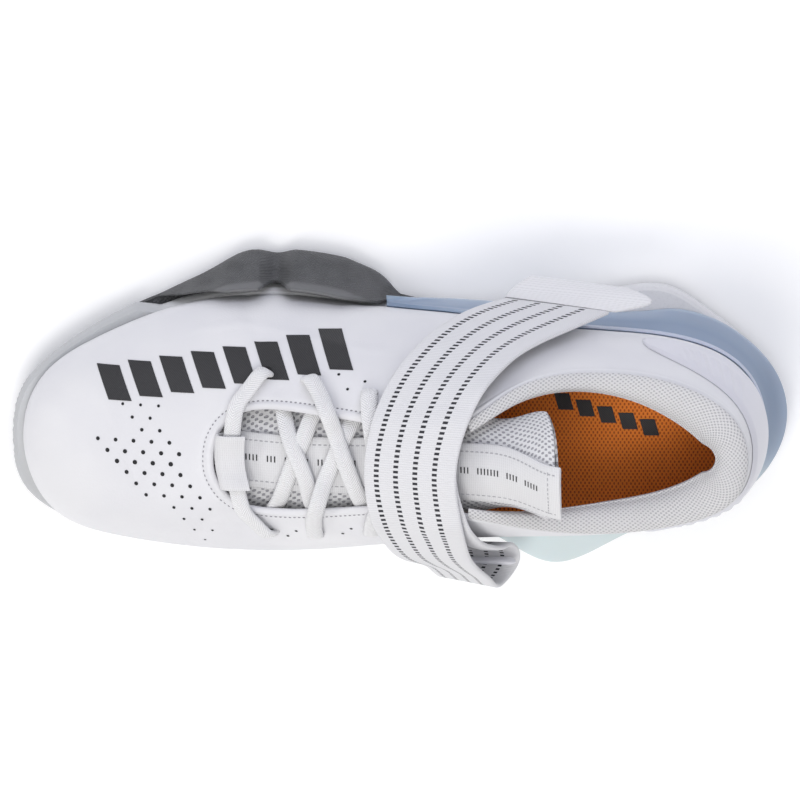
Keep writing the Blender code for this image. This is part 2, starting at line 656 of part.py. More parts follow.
def outward(plan):
    """The outward direction at each point of a closed line in plan that runs heel, medial, toe, lateral."""
    along = np.roll(plan, -1, axis=0) - np.roll(plan, 1, axis=0)
    return unit(np.stack([-along[:, 1], along[:, 0]], axis=1))


def places_at(x, column):
    """Places round the upper where a column of its rows is x: the medial one, and the lateral one."""
    dense = np.linspace(-0.25, 1, 5001)
    values = UPPER(dense)[:, column]
    back = np.argmin(np.where(dense < 0.25, values, np.inf))
    front = np.argmax(np.where(dense > 0.25, values, -np.inf))
    medial = np.interp(x, values[back : front + 1], dense[back : front + 1])
    once = dense[front] + np.linspace(0, 1, 4001) * (1 + dense[back] - dense[front])
    lateral = np.interp(x, UPPER(once)[::-1, column], once[::-1])
    return medial, lateral


def foot_stations(front, count):
    """Stations under the upper from its heel to a share of LENGTH, close together at a round end."""
    dense = UPPER(np.linspace(0, 1, 5001))[:, 0]
    back = dense.min()
    if front * LENGTH < dense.max():
        return back + (front * LENGTH - back) * (1 - np.cos(np.linspace(0, np.pi / 2, count)))
    return back + (dense.max() - back) * (1 - np.cos(np.linspace(0, np.pi, count))) / 2


def make_heel_plate(finish):
    """The translucent wedge: a flared foot, a concave side, and a cup rim that climbs the upper."""
    medial, lateral = places_at(foot_stations(PLATE_FRONT, PLATE_COLUMNS), 0)
    u = np.concatenate([lateral[:0:-1] - 1, medial])
    foot = upper_outer(u, 0.0)
    fade = smooth_step((PLATE_FRONT * LENGTH - foot[:, 0]) / (0.20 * LENGTH))
    columns = []
    for k, place in enumerate(u):
        near = nearest_footprint(foot[k, :2])
        inward = unit(foot[k, :2] - near[:2])
        flare = near[:2] + inward * (near[3] + PLATE_TUCK * (1 - fade[k]))
        bed = footbed(foot[k, 0])
        base = midsole_top(flare[0]) + SEAT_GAP
        room = bed - base
        lip = min(PLATE_LIP, 0.35 * room)
        share = (CUP_HEIGHT * fade[k] + 0.5) / (COLLAR_HEIGHT - HEEL_STACK)
        heights = np.array([0.0, 0.45, 1.0]) * share * 0.78
        inner = upper_point(place, heights, -SEAT_GAP)
        outer = upper_point(place, heights, -SEAT_GAP - np.array([CUP_WALL, CUP_WALL, 0.7]))
        waist = 0.12 * flare + 0.88 * outer[0, :2]
        neck = 0.55 * flare + 0.45 * waist
        columns.append(
            [
                (*(flare + inward * 0.8), base),
                (*flare, base + 0.25 * lip),
                (*flare, base + lip),
                (*neck, base + lip + 0.16 * (room - lip)),
                (*waist, base + lip + 0.55 * (room - lip)),
                (*outer[0, :2], bed + 0.3),
                outer[1],
                outer[2],
                inner[2],
                inner[1],
                (*inner[0, :2], bed),
            ]
        )
    return open_ring_solid("heel_plate", np.array(columns), finish)


def make_upper_solid(finish):
    u = np.arange(UPPER_COLUMNS) / UPPER_COLUMNS
    v = np.linspace(0, 1, UPPER_RINGS + 1)
    grid_u, grid_v = np.meshgrid(u, v, indexing="ij")
    outer = upper_point(grid_u, grid_v, 0.0)
    inner = upper_point(grid_u, grid_v, UPPER_WALL)
    inner[:, 0, 2] = outer[:, 0, 2]
    return shell("upper", outer, inner, True, finish)


def make_insole(finish):
    medial, lateral = places_at(foot_stations(1.0, 26), 0)
    foot = upper_outer(np.concatenate([medial, lateral[-2:0:-1]]), 0.0)
    out = outward(foot[:, :2])
    bed = footbed(foot[:, 0]) + SEAT_GAP
    back = smooth_step(1.2 - foot[:, 0] / (0.4 * LENGTH))
    top = bed + INSOLE_THICKNESS + INSOLE_RIM * back
    profile = (
        (UPPER_WALL + 1.6, bed),
        (UPPER_WALL + 0.9, top),
        (UPPER_WALL + 2.4, top),
        (UPPER_WALL + INSOLE_RIM_WIDTH + 2.0, bed + INSOLE_THICKNESS),
    )
    columns = [np.column_stack([foot[:, :2] - out * inset, height]) for inset, height in profile]
    return ring_solid("insole", np.stack(columns, axis=1), finish)


def band_places(front, count):
    """Even places round the heel, between the two points at a share of LENGTH along the edge."""
    medial, lateral = places_at(np.array([front * LENGTH]), 2)
    return np.linspace(lateral[0] - 1, medial[0], count)


def make_heel_counter(finish):
    """A thin film round the heel, above the cup."""
    u = band_places(0.205, 23)
    end = np.sin(np.pi * np.linspace(0, 1, len(u))) ** 0.45
    low = 0.30 + 0.10 * (1 - end)
    high = 0.40 + 0.42 * end
    share = np.linspace(0, 1, 5)
    grid_u = np.repeat(u[:, None], len(share), axis=1)
    grid_v = low[:, None] + (high - low)[:, None] * share
    inner = upper_point(grid_u, grid_v, -SEAT_GAP)
    outer = upper_point(grid_u, grid_v, -SEAT_GAP - COUNTER_WALL)
    return shell("heel_counter", outer, inner, False, finish)


# The collar pad's section: height up the wall, room under the outer face, a share of the pad's thickness
# added to it, and the rise past the edge
Pad = namedtuple("Pad", "height depth thick rise")
PAD_ROWS = (
    Pad(0.52, 2.8, 0.00, 0.0),
    Pad(0.72, 2.8, 0.00, 0.0),
    Pad(0.90, 2.8, 0.00, 0.0),
    Pad(1.00, 2.8, 0.00, 0.0),
    Pad(1.00, 2.6, 0.00, 0.5),
    Pad(1.00, 0.3, 0.00, 0.6),
    Pad(1.00, 0.0, 0.00, 1.6),
    Pad(1.00, 1.2, 0.10, 3.0),
    Pad(1.00, 2.3, 0.40, 3.6),
    Pad(1.00, 2.3, 0.75, 2.4),
    Pad(1.00, 2.3, 0.97, 0.0),
    Pad(0.94, 2.3, 1.00, 0.0),
    Pad(0.82, 2.3, 0.85, 0.0),
    Pad(0.66, 2.3, 0.50, 0.0),
    Pad(0.52, 4.0, 0.00, 0.0),
)


def make_collar_pad(finish):
    u = band_places(0.392, 37)
    rows = np.array(PAD_ROWS)
    thick = UPPER(u)[:, 8]
    depth = rows[:, 1] + thick[:, None] * rows[:, 2]
    place = np.repeat(u[:, None], len(rows), axis=1)
    sections = upper_point(place, np.tile(rows[:, 0], (len(u), 1)), depth, rows[:, 3])
    return section_solid("collar_pad", sections, finish)


def make_tongue_curve():
    rows = np.array([row[1:] for row in TONGUE_ROWS])
    rows *= (LENGTH, BALL_WIDTH, COLLAR_HEIGHT, BALL_WIDTH, COLLAR_HEIGHT, 1)
    knots = shares_along(rows[:, :3], closed=False)
    return knots[-2], spline(knots, rows)


TONGUE_END, TONGUE = make_tongue_curve()


def tongue_face(s, t):
    """A point of the tongue's top: s from the throat to its top, t across it from -1 to 1."""
    row = TONGUE(s)
    across = row[..., 1] + row[..., 3] * t
    return np.stack([row[..., 0], across, row[..., 2] - row[..., 4] * t * t], axis=-1)


def tongue_point(s, t, depth):
    s, t = np.broadcast_arrays(np.asarray(s, float), np.asarray(t, float))
    step = 1e-3
    along = tongue_face(s + step, t) - tongue_face(s - step, t)
    across = tongue_face(s, t + step) - tongue_face(s, t - step)
    down = unit(np.cross(along, across))
    down *= -np.sign(down[..., 2:3])
    return tongue_face(s, t) + down * np.broadcast_to(depth, s.shape)[..., None]


def make_tongue(finish):
    s, t = np.meshgrid(np.linspace(0.0, 1.0, 16), np.linspace(-1, 1, 9), indexing="ij")
    edge = np.maximum(np.abs(t), smooth_step((s - 0.9) / 0.1))
    depth = TONGUE_THICKNESS * (1 - 0.55 * edge**4) * (1 + TONGUE_FILL * smooth_step((s - 0.45) / 0.3))
    s = s * TONGUE_END * (1 - TONGUE_CORNER * t**6)
    return shell("tongue", tongue_point(s, t, 0.0), tongue_point(s, t, depth), False, finish)


def make_tongue_label(finish):
    """Webbing down the tongue, which stands past the tongue's top as a pull."""
    s, t = np.meshgrid(np.linspace(0.02, 0.998, 17), np.linspace(-1, 1, 5), indexing="ij")
    row = TONGUE(s)
    place = row[..., 5] + t * LABEL_WIDTH / 2 / row[..., 3]
    low = tongue_point(s, place, -LABEL_GAP)
    return shell("tongue_label", tongue_point(s, place, -LABEL_GAP - WEBBING), low, False, finish)


def flat_oval(path, width, thick, up):
    """Cross-sections of a flat oval along a path, lying flat to the up directions."""
    along = unit(np.gradient(path, axis=0))
    side = unit(np.cross(along, up))
    above = unit(np.cross(side, along))
    turn = np.linspace(0, 2 * np.pi, 8, endpoint=False)
    flat = np.sign(np.cos(turn)) * np.abs(np.cos(turn)) ** 0.7
    return (
        path[:, None]
        + side[:, None] * (width / 2 * flat)[None, :, None]
        + above[:, None] * (thick / 2 * np.sin(turn))[None, :, None]
    )


def upper_place(plan):
    """Where on the upper's outer face a point of the plan lies."""
    u, v = np.meshgrid(np.linspace(0, 1, 241), np.linspace(0.15, 1, 41), indexing="ij")
    far = np.linalg.norm(upper_outer(u, v)[..., :2] - plan, axis=-1)
    nearest = np.unravel_index(np.argmin(far), far.shape)
    place = np.array([u[nearest], v[nearest]])
    step = 1e-4
    for _ in range(6):
        here = upper_outer(*place)[:2]
        slopes = [(upper_outer(*(place + shift))[:2] - here) / step for shift in np.eye(2) * step]
        place = place + np.linalg.solve(np.transpose(slopes), plan - here)
    return place


def tongue_place(plan):
    """Where on the tongue's top a point of the plan lies."""
    s = np.linspace(0, 1, 801)
    along = TONGUE(s)[:, 0]
    place = np.interp(-plan[0], -along, s)
    row = TONGUE(place)
    return place, (plan[1] - row[1]) / row[3]


def lace_path(strand):
    """A strand's middle line."""
    points = []
    for row in LACE_ROWS:
        if row.strand == strand:
            plan = np.array([row.along * LENGTH, row.across * BALL_WIDTH])
            if row.over == "upper":
                points.append(upper_point(*upper_place(plan), -row.lift))
            else:
                points.append(tongue_face(*tongue_place(plan)) + (0, 0, row.lift))
    curve = spline(shares_along(points, closed=False), points)
    return curve(np.linspace(0, 1, 15))


def lace_sections(strand):
    path = lace_path(strand)
    up = unit((path - (0, STRAP_AXIS[0], STRAP_AXIS[1])) * (0, 1, 1))
    return flat_oval(path, LACE_WIDTH, LACE_THICKNESS, up)


def joined(name, low, high):
    """Two strands as one solid."""
    union = low.modifiers.new("crossing", "BOOLEAN")
    union.operation = "UNION"
    union.solver = "EXACT"
    union.object = high
    shape = low.evaluated_get(bpy.context.evaluated_depsgraph_get())
    mesh = bpy.data.meshes.new_from_object(shape)
    low.modifiers.clear()
    low.data = mesh
    low.name = name
    mesh.name = name
    bpy.data.objects.remove(high, do_unlink=True)
    return low


def make_laces(finish):
    section_solid("lace_bar", lace_sections("bar"), finish)
    for number, crossing in enumerate(("first", "second", "third"), 1):
        under = section_solid(f"{crossing}_under", lace_sections(f"{crossing}_under"), finish)
        over = section_solid(f"{crossing}_over", lace_sections(f"{crossing}_over"), finish)
        joined(f"lace_cross_{number}", under, over)


def polar(points):
    """Place along the shoe, angle round the strap's axis and distance from it."""
    across, up = points[..., 1] - STRAP_AXIS[0], points[..., 2] - STRAP_AXIS[1]
    return points[..., 0], np.arctan2(across, up), np.hypot(across, up)


def make_hull():
    """What the strap lies on, as polar samples: the upper, and the lace strands over the throat."""
    u, v = np.meshgrid(np.linspace(0, 1, 361), np.linspace(0.05, 1, 41), indexing="ij")
    samples = [upper_outer(u, v).reshape(-1, 3)]
    for strand in dict.fromkeys(row.strand for row in LACE_ROWS):
        sections = lace_sections(strand)
        samples += [sections.reshape(-1, 3), (sections[1:] / 2 + sections[:-1] / 2).reshape(-1, 3)]
    return np.stack(polar(np.concatenate(samples)), axis=1)


HULL = make_hull()


def clear_of_hull(points, room):
    """Move points away from the strap's axis until each has its room over the hull, evenly along it."""
    along, angle, reach = polar(points)
    lift = np.zeros_like(reach)
    for place in np.ndindex(reach.shape):
        near = (np.abs(HULL[:, 0] - along[place]) < 3.0) & (np.abs(HULL[:, 1] - angle[place]) < 0.07)
        if near.any():
            lift[place] = max(0.0, HULL[near, 2].max() + room[place] - reach[place])
    rows, columns = lift.shape
    padded = np.pad(lift, 1, mode="edge")
    widest = np.max([padded[i : i + rows, 1:-1] for i in range(3)], axis=0)
    padded = np.pad(widest, ((2, 2), (1, 1)), mode="edge")
    smooth = np.mean([padded[i : i + rows, j : j + columns] for i in range(5) for j in range(3)], axis=0)
    wanted = reach + np.maximum(smooth, lift)
    moved = points.copy()
    moved[..., 1] = STRAP_AXIS[0] + np.sin(angle) * wanted
    moved[..., 2] = STRAP_AXIS[1] + np.cos(angle) * wanted
    return moved


def band_grid(rows, stations, columns):
    """A band's middle face from its rows."""
    table = np.array([row[1:] for row in rows])
    table *= (LENGTH, BALL_WIDTH, COLLAR_HEIGHT, LENGTH, BALL_WIDTH, COLLAR_HEIGHT, 1)
    shares = shares_along((table[:, :3] + table[:, 3:6]) / 2, closed=False)
    rows = spline(shares, table)(np.linspace(0, 1, stations))
    side = np.linspace(0, 1, columns)[None, :, None]
    points = rows[:, None, :3] * (1 - side) + rows[:, None, 3:6] * side
    return points, np.repeat(rows[:, 6:7], columns, axis=1)


def make_band(name, rows, stations, columns, thickness, finish):
    points, room = band_grid(rows, stations, columns)
    points = clear_of_hull(points, room + thickness / 2)
    along = np.gradient(points, axis=0)
    across = np.gradient(points, axis=1)
    normal = unit(np.cross(along, across))
    return shell(name, points + normal * thickness / 2, points - normal * thickness / 2, False, finish)


def make_keeper(finish):
    """The bar the strap is folded round, low on the medial side."""
    front, rear = np.array(KEEPER_ENDS) * (LENGTH, BALL_WIDTH, COLLAR_HEIGHT)
    path = np.linspace(rear, front, 5)
    side = np.tile((0.0, 1.0, 0.0), (5, 1))
    return section_solid("strap_keeper", flat_oval(path, KEEPER_WIDTH, KEEPER_THICKNESS, side), finish)


def centre_everything():
    """Put the middle of the whole shoe's box over the origin, and its lowest point on the floor."""
    pieces = [item for item in bpy.context.scene.objects if item.type == "MESH"]
    corners = np.array([vertex.co for item in pieces for vertex in item.data.vertices])
    low, high = corners.min(axis=0), corners.max(axis=0)
    middle = (low + high) / 2
    for item in pieces:
        item.data.transform(Matrix.Translation((-middle[0], -middle[1], -low[2])))


def main():
    clear_scene()
    white = material("synthetic_white", (0.86, 0.86, 0.88), 0.45)
    film = material("film_white", (0.80, 0.80, 0.84), 0.35)
    foam = material("foam_white", (0.88, 0.88, 0.88), 0.55)
    rubber = material("rubber_grey", (0.06, 0.06, 0.065), 0.6)
    plate = material("plate_blue", (0.42, 0.53, 0.66), 0.25, alpha=0.85)
    orange = material("insole_orange", (0.55, 0.13, 0.02), 0.85)
    mesh = material("mesh_white", (0.78, 0.78, 0.80), 0.8)
    cloth = material("webbing_white", (0.85, 0.85, 0.86), 0.75)
    make_outsole(rubber)
    make_midsole(foam)
    make_heel_plate(plate)
    make_upper_solid(white)
    make_heel_counter(film)
    make_collar_pad(mesh)
    make_insole(orange)
    make_tongue(mesh)
    make_tongue_label(cloth)
    make_laces(cloth)
    make_band("strap", STRAP_ROWS, 58, 5, STRAP_THICKNESS, cloth)
    make_band("hook_tab", HOOK_TAB_ROWS, 6, 5, TAB_THICKNESS, cloth)
    make_keeper(film)
    centre_everything()


main()
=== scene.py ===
"""Looks for the weightlifting shoe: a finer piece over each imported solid, in cloth, foam, film and rubber.

Lengths are millimetres in the shoe's own frame, as in the part's source: X from the heel's back to the toe,
+Y to the medial side, Z up. place() moves them into the frame's metres.
"""

from collections import namedtuple

import bmesh
import bpy
import numpy as np
from mathutils import Matrix, Vector


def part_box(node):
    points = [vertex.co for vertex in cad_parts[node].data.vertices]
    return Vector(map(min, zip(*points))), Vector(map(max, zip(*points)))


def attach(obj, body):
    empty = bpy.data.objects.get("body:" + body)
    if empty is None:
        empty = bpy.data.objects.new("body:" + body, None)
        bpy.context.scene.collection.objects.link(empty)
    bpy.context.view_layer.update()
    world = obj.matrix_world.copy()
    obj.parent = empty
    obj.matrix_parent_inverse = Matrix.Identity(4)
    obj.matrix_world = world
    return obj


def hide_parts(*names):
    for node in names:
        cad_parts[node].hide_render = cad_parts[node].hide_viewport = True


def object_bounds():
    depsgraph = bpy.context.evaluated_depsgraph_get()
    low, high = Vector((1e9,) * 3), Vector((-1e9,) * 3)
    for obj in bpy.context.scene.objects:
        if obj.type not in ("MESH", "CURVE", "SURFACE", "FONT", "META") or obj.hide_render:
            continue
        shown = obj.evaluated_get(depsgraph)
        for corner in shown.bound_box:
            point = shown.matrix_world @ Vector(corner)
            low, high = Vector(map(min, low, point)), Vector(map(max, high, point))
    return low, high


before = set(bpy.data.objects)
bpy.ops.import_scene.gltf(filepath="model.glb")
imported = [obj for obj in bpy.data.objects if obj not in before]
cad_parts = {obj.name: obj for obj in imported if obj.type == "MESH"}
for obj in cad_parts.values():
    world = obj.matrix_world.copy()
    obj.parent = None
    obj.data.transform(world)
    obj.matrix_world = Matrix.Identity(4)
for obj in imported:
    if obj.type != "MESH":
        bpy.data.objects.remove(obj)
CAD_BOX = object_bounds()

METRES = 0.001
SHARP_ANGLE = 50

# Driving sizes
LENGTH = 300.0
BALL_WIDTH = 106.0
COLLAR_HEIGHT = 97.0
HEEL_STACK = 34.0
FOREFOOT_STACK = 17.0
TOE_SPRING = 9.0
TOE_THINNING = 4.0
HEEL_BEVEL = 1.6
SEAT_GAP = 0.3

# Sole
OUTSOLE_THICKNESS = 3.8
LUG_DEPTH = 1.8
LUG_PITCH = 20.0
LUG_GROOVE = 3.2
OUTSOLE_INSET = 1.2
BASE_HEIGHT = 12.0
PLATE_LIP = 3.0
PLATE_TUCK = 1.5
CUP_WALL = 1.6
CUP_HEIGHT = 13.0
WRAP_HEIGHT = 31.0
WRAP_FLARE = 8.2
WRAP_WALL = 2.2

# Upper and what is sewn to it
UPPER_WALL = 2.0
COUNTER_WALL = 1.2
INSOLE_THICKNESS = 3.5
INSOLE_RIM = 3.0
INSOLE_RIM_WIDTH = 5.0
TONGUE_THICKNESS = 4.5
TONGUE_FILL = 0.4
TONGUE_CORNER = 0.03
WEBBING = 1.2
LABEL_GAP = 0.6
LABEL_WIDTH = 20.0

# Lace and strap
LACE_WIDTH = 6.4
LACE_THICKNESS = 2.8
STRAP_THICKNESS = 1.8
TAB_THICKNESS = 1.6
KEEPER_WIDTH = 6.0
KEEPER_THICKNESS = 2.6

# How many samples the footprint has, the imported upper's columns and rings, and points of a lace's path
DENSE = 720
UPPER_COLUMNS = 58
UPPER_RINGS = 10
PATH_POINTS = 15

# Footprint of the sole, once round from the heel. Along is a share of LENGTH. The others are shares of
# BALL_WIDTH: across is medial, and base and plate say how far the foam base and heel wedge stand inside it.
Outline = namedtuple("Outline", "name along across base plate")
FOOTPRINT_ROWS = (
    Outline("heel_back", 0.000, 0.000, 0.022, 0.000),
    Outline("medial_heel_curve", 0.017, 0.160, 0.022, 0.000),
    Outline("medial_heel_corner", 0.053, 0.278, 0.022, 0.000),
    Outline("medial_heel", 0.113, 0.358, 0.020, 0.000),
    Outline("medial_waist_back", 0.205, 0.438, 0.030, 0.000),
    Outline("medial_wing", 0.304, 0.548, 0.066, 0.000),
    Outline("medial_arch", 0.380, 0.446, 0.020, 0.000),
    Outline("medial_arch_front", 0.487, 0.420, 0.000, 0.020),
    Outline("medial_ball_back", 0.587, 0.448, 0.000, 0.020),
    Outline("medial_ball", 0.683, 0.476, 0.000, 0.020),
    Outline("medial_ball_front", 0.780, 0.464, 0.000, 0.020),
    Outline("medial_toe_side", 0.867, 0.430, 0.000, 0.020),
    Outline("medial_toe_corner", 0.940, 0.362, 0.000, 0.020),
    Outline("medial_toe_curve", 0.984, 0.260, 0.000, 0.020),
    Outline("toe_tip", 1.000, 0.066, 0.000, 0.020),
    Outline("lateral_toe_curve", 0.984, -0.128, 0.000, 0.020),
    Outline("lateral_toe_corner", 0.943, -0.245, 0.000, 0.020),
    Outline("lateral_toe_side", 0.877, -0.363, 0.000, 0.020),
    Outline("lateral_ball_front", 0.790, -0.468, 0.000, 0.020),
    Outline("lateral_ball", 0.693, -0.526, 0.000, 0.020),
    Outline("lateral_ball_back", 0.600, -0.515, 0.000, 0.020),
    Outline("lateral_arch_front", 0.500, -0.464, 0.020, 0.000),
    Outline("lateral_arch", 0.393, -0.432, 0.030, 0.000),
    Outline("lateral_arch_back", 0.293, -0.440, 0.006, 0.040),
    Outline("lateral_outrigger_front", 0.220, -0.462, 0.000, 0.078),
    Outline("lateral_outrigger", 0.160, -0.474, 0.000, 0.082),
    Outline("lateral_heel", 0.103, -0.390, 0.004, 0.020),
    Outline("lateral_heel_corner", 0.050, -0.282, 0.014, 0.002),
    Outline("lateral_heel_curve", 0.015, -0.165, 0.020, 0.000),
)

# Foot bed between forefoot height, 0, and heel height, 1, along the shoe
Bed = namedtuple("Bed", "along drop")
BED_ROWS = (
    Bed(0.00, 1.00),
    Bed(0.10, 1.00),
    Bed(0.22, 0.96),
    Bed(0.34, 0.70),
    Bed(0.46, 0.30),
    Bed(0.56, 0.06),
    Bed(0.66, 0.00),
    Bed(1.00, 0.00),
)
TOE_SPRING_START = 0.66
WEDGE_START = 0.42
WEDGE_END = 0.56
PLATE_FRONT = 0.515
HEEL_BEVEL_END = 0.05

# The upper, a row for each section from the sole (foot) to the throat or collar (edge), once round from the
# heel. Along is a share of LENGTH, across of BALL_WIDTH, up of COLLAR_HEIGHT and bulge of BALL_WIDTH.
# Fullness squares the section's shoulder, and ramp is how much of its rise is a straight slope.
# Pad is the collar's thickness, a share of BALL_WIDTH.
Section = namedtuple("Section", "name foot_along foot_across along across up bulge fullness ramp pad")
UPPER_ROWS = (
    Section("heel_back", 0.040, 0.000, 0.056, 0.000, 1.000, 0.030, 2.0, 0.55, 0.095),
    Section("medial_heel_corner", 0.058, 0.168, 0.074, 0.144, 0.985, 0.023, 2.0, 0.55, 0.124),
    Section("medial_heel", 0.125, 0.282, 0.145, 0.250, 0.900, 0.021, 2.0, 0.55, 0.112),
    Section("medial_ankle", 0.215, 0.335, 0.235, 0.294, 0.835, 0.030, 2.0, 0.55, 0.090),
    Section("medial_collar_front", 0.310, 0.352, 0.335, 0.262, 0.900, 0.034, 2.0, 0.50, 0.040),
    Section("medial_instep", 0.400, 0.372, 0.420, 0.205, 0.955, 0.032, 2.0, 0.42, 0.010),
    Section("medial_throat", 0.500, 0.410, 0.500, 0.203, 0.842, 0.030, 2.1, 0.36, 0.020),
    Section("medial_ball", 0.605, 0.447, 0.600, 0.240, 0.715, 0.028, 2.2, 0.34, 0.020),
    Section("medial_throat_corner", 0.740, 0.452, 0.682, 0.245, 0.632, 0.026, 2.3, 0.38, 0.020),
    Section("medial_toe_side", 0.868, 0.406, 0.714, 0.200, 0.618, 0.020, 2.5, 0.37, 0.020),
    Section("medial_toe", 0.944, 0.326, 0.728, 0.140, 0.614, 0.014, 2.6, 0.41, 0.020),
    Section("toe_tip", 0.984, 0.066, 0.732, 0.068, 0.612, 0.008, 2.6, 0.43, 0.020),
    Section("lateral_toe", 0.958, -0.165, 0.727, -0.005, 0.616, 0.010, 2.6, 0.41, 0.020),
    Section("lateral_toe_side", 0.890, -0.300, 0.711, -0.072, 0.625, 0.014, 2.5, 0.37, 0.020),
    Section("lateral_ball_front", 0.785, -0.416, 0.677, -0.118, 0.645, 0.016, 2.3, 0.40, 0.020),
    Section("lateral_ball", 0.640, -0.455, 0.605, -0.118, 0.722, 0.012, 2.2, 0.38, 0.020),
    Section("lateral_throat", 0.515, -0.415, 0.510, -0.096, 0.845, 0.016, 2.1, 0.38, 0.020),
    Section("lateral_instep", 0.410, -0.395, 0.425, -0.110, 0.960, 0.026, 2.0, 0.42, 0.010),
    Section("lateral_collar_front", 0.318, -0.362, 0.345, -0.250, 0.915, 0.030, 2.0, 0.50, 0.040),
    Section("lateral_ankle", 0.218, -0.338, 0.240, -0.292, 0.845, 0.032, 2.0, 0.55, 0.060),
    Section("lateral_heel", 0.125, -0.300, 0.145, -0.262, 0.905, 0.032, 2.0, 0.55, 0.114),
    Section("lateral_heel_corner", 0.058, -0.180, 0.074, -0.152, 0.985, 0.032, 2.0, 0.55, 0.126),
)

# The tongue's middle line from the throat to its top. Width is half the tongue's, and drop is how far its
# edges hang below the middle: shares of LENGTH, BALL_WIDTH and COLLAR_HEIGHT as above. Label is the webbing's
# middle, a share of the tongue's half width toward the medial side.
Tongue = namedtuple("Tongue", "name along across up width drop label")
TONGUE_ROWS = (
    Tongue("tip", 0.742, 0.070, 0.520, 0.170, 0.040, 0.00),
    Tongue("throat", 0.610, 0.068, 0.680, 0.235, 0.090, 0.03),
    Tongue("mid_throat", 0.500, 0.056, 0.805, 0.216, 0.130, 0.02),
    Tongue("instep", 0.420, 0.048, 0.930, 0.200, 0.135, 0.02),
    Tongue("collar", 0.353, 0.026, 1.065, 0.164, 0.170, 0.12),
    Tongue("top", 0.310, 0.022, 1.190, 0.196, 0.235, 0.24),
    Tongue("top_edge", 0.297, 0.022, 1.232, 0.195, 0.225, 0.26),
    Tongue("pull_end", 0.286, 0.022, 1.256, 0.192, 0.220, 0.27),
)

# A strap row gives its front and rear edges, and the least room over what is under it, in millimetres.
# The strap runs from its lateral anchor over the instep, round the medial keeper and back again.
Band = namedtuple("Band", "name front_along front_across front_up rear_along rear_across rear_up room")
STRAP_ROWS = (
    Band("anchor", 0.372, -0.420, 0.345, 0.255, -0.400, 0.385, 0.5),
    Band("lateral_side", 0.405, -0.415, 0.480, 0.290, -0.400, 0.520, 0.5),
    Band("lateral_shoulder", 0.455, -0.345, 0.720, 0.345, -0.340, 0.780, 0.5),
    Band("lateral_instep", 0.515, -0.150, 0.850, 0.405, -0.150, 0.960, 2.8),
    Band("crest", 0.530, 0.050, 0.880, 0.422, 0.050, 1.000, 2.4),
    Band("medial_instep", 0.518, 0.230, 0.820, 0.405, 0.235, 0.930, 2.2),
    Band("medial_shoulder", 0.488, 0.345, 0.700, 0.385, 0.345, 0.760, 0.5),
    Band("medial_side", 0.470, 0.410, 0.540, 0.365, 0.405, 0.570, 0.5),
    Band("inner_low", 0.448, 0.425, 0.390, 0.352, 0.430, 0.420, 1.0),
    Band("turn", 0.437, 0.480, 0.318, 0.347, 0.500, 0.350, 5.0),
    Band("outer_low", 0.440, 0.535, 0.370, 0.362, 0.560, 0.400, 8.5),
    Band("outer_side", 0.458, 0.480, 0.540, 0.380, 0.528, 0.570, 4.5),
    Band("outer_shoulder", 0.489, 0.400, 0.740, 0.402, 0.410, 0.800, 3.4),
    Band("outer_medial_instep", 0.522, 0.240, 0.860, 0.414, 0.240, 0.980, 5.4),
    Band("outer_crest", 0.533, 0.045, 0.920, 0.422, 0.045, 1.040, 5.4),
    Band("outer_lateral_instep", 0.518, -0.160, 0.890, 0.402, -0.165, 1.000, 5.4),
    Band("outer_lateral_shoulder", 0.470, -0.360, 0.740, 0.345, -0.345, 0.820, 3.8),
    Band("outer_lateral_side", 0.410, -0.455, 0.560, 0.285, -0.405, 0.640, 4.0),
    Band("seam", 0.361, -0.487, 0.465, 0.232, -0.443, 0.490, 6.0),
)
HOOK_TAB_ROWS = (
    Band("seam", 0.359, -0.491, 0.452, 0.222, -0.447, 0.490, 6.0),
    Band("middle", 0.345, -0.525, 0.400, 0.178, -0.485, 0.455, 6.0),
    Band("end", 0.328, -0.553, 0.362, 0.205, -0.512, 0.400, 6.0),
)
STRAP_AXIS = (5.0, 42.0)
KEEPER_ENDS = ((0.453, 0.488, 0.388), (0.349, 0.490, 0.412))

# The rubber that wraps up the lateral forefoot in two lobes: its height and flare as shares of the full
# ones, and how far the foam is cut back to let it in
Wrap = namedtuple("Wrap", "name along height flare recess")
WRAP_ROWS = (
    Wrap("recess_back", 0.470, 0.00, 0.00, 0.0),
    Wrap("back", 0.497, 0.00, 0.00, 1.0),
    Wrap("back_corner", 0.517, 0.55, 0.50, 1.0),
    Wrap("back_lobe", 0.553, 0.88, 0.88, 1.0),
    Wrap("back_lobe_front", 0.637, 1.00, 1.00, 1.0),
    Wrap("notch", 0.657, 0.45, 0.80, 1.0),
    Wrap("front_lobe_back", 0.677, 0.98, 0.97, 1.0),
    Wrap("front_lobe", 0.733, 0.84, 0.52, 1.0),
    Wrap("front_corner", 0.787, 0.42, 0.10, 1.0),
    Wrap("front", 0.813, 0.00, 0.00, 1.0),
    Wrap("recess_front", 0.840, 0.00, 0.00, 0.0),
)

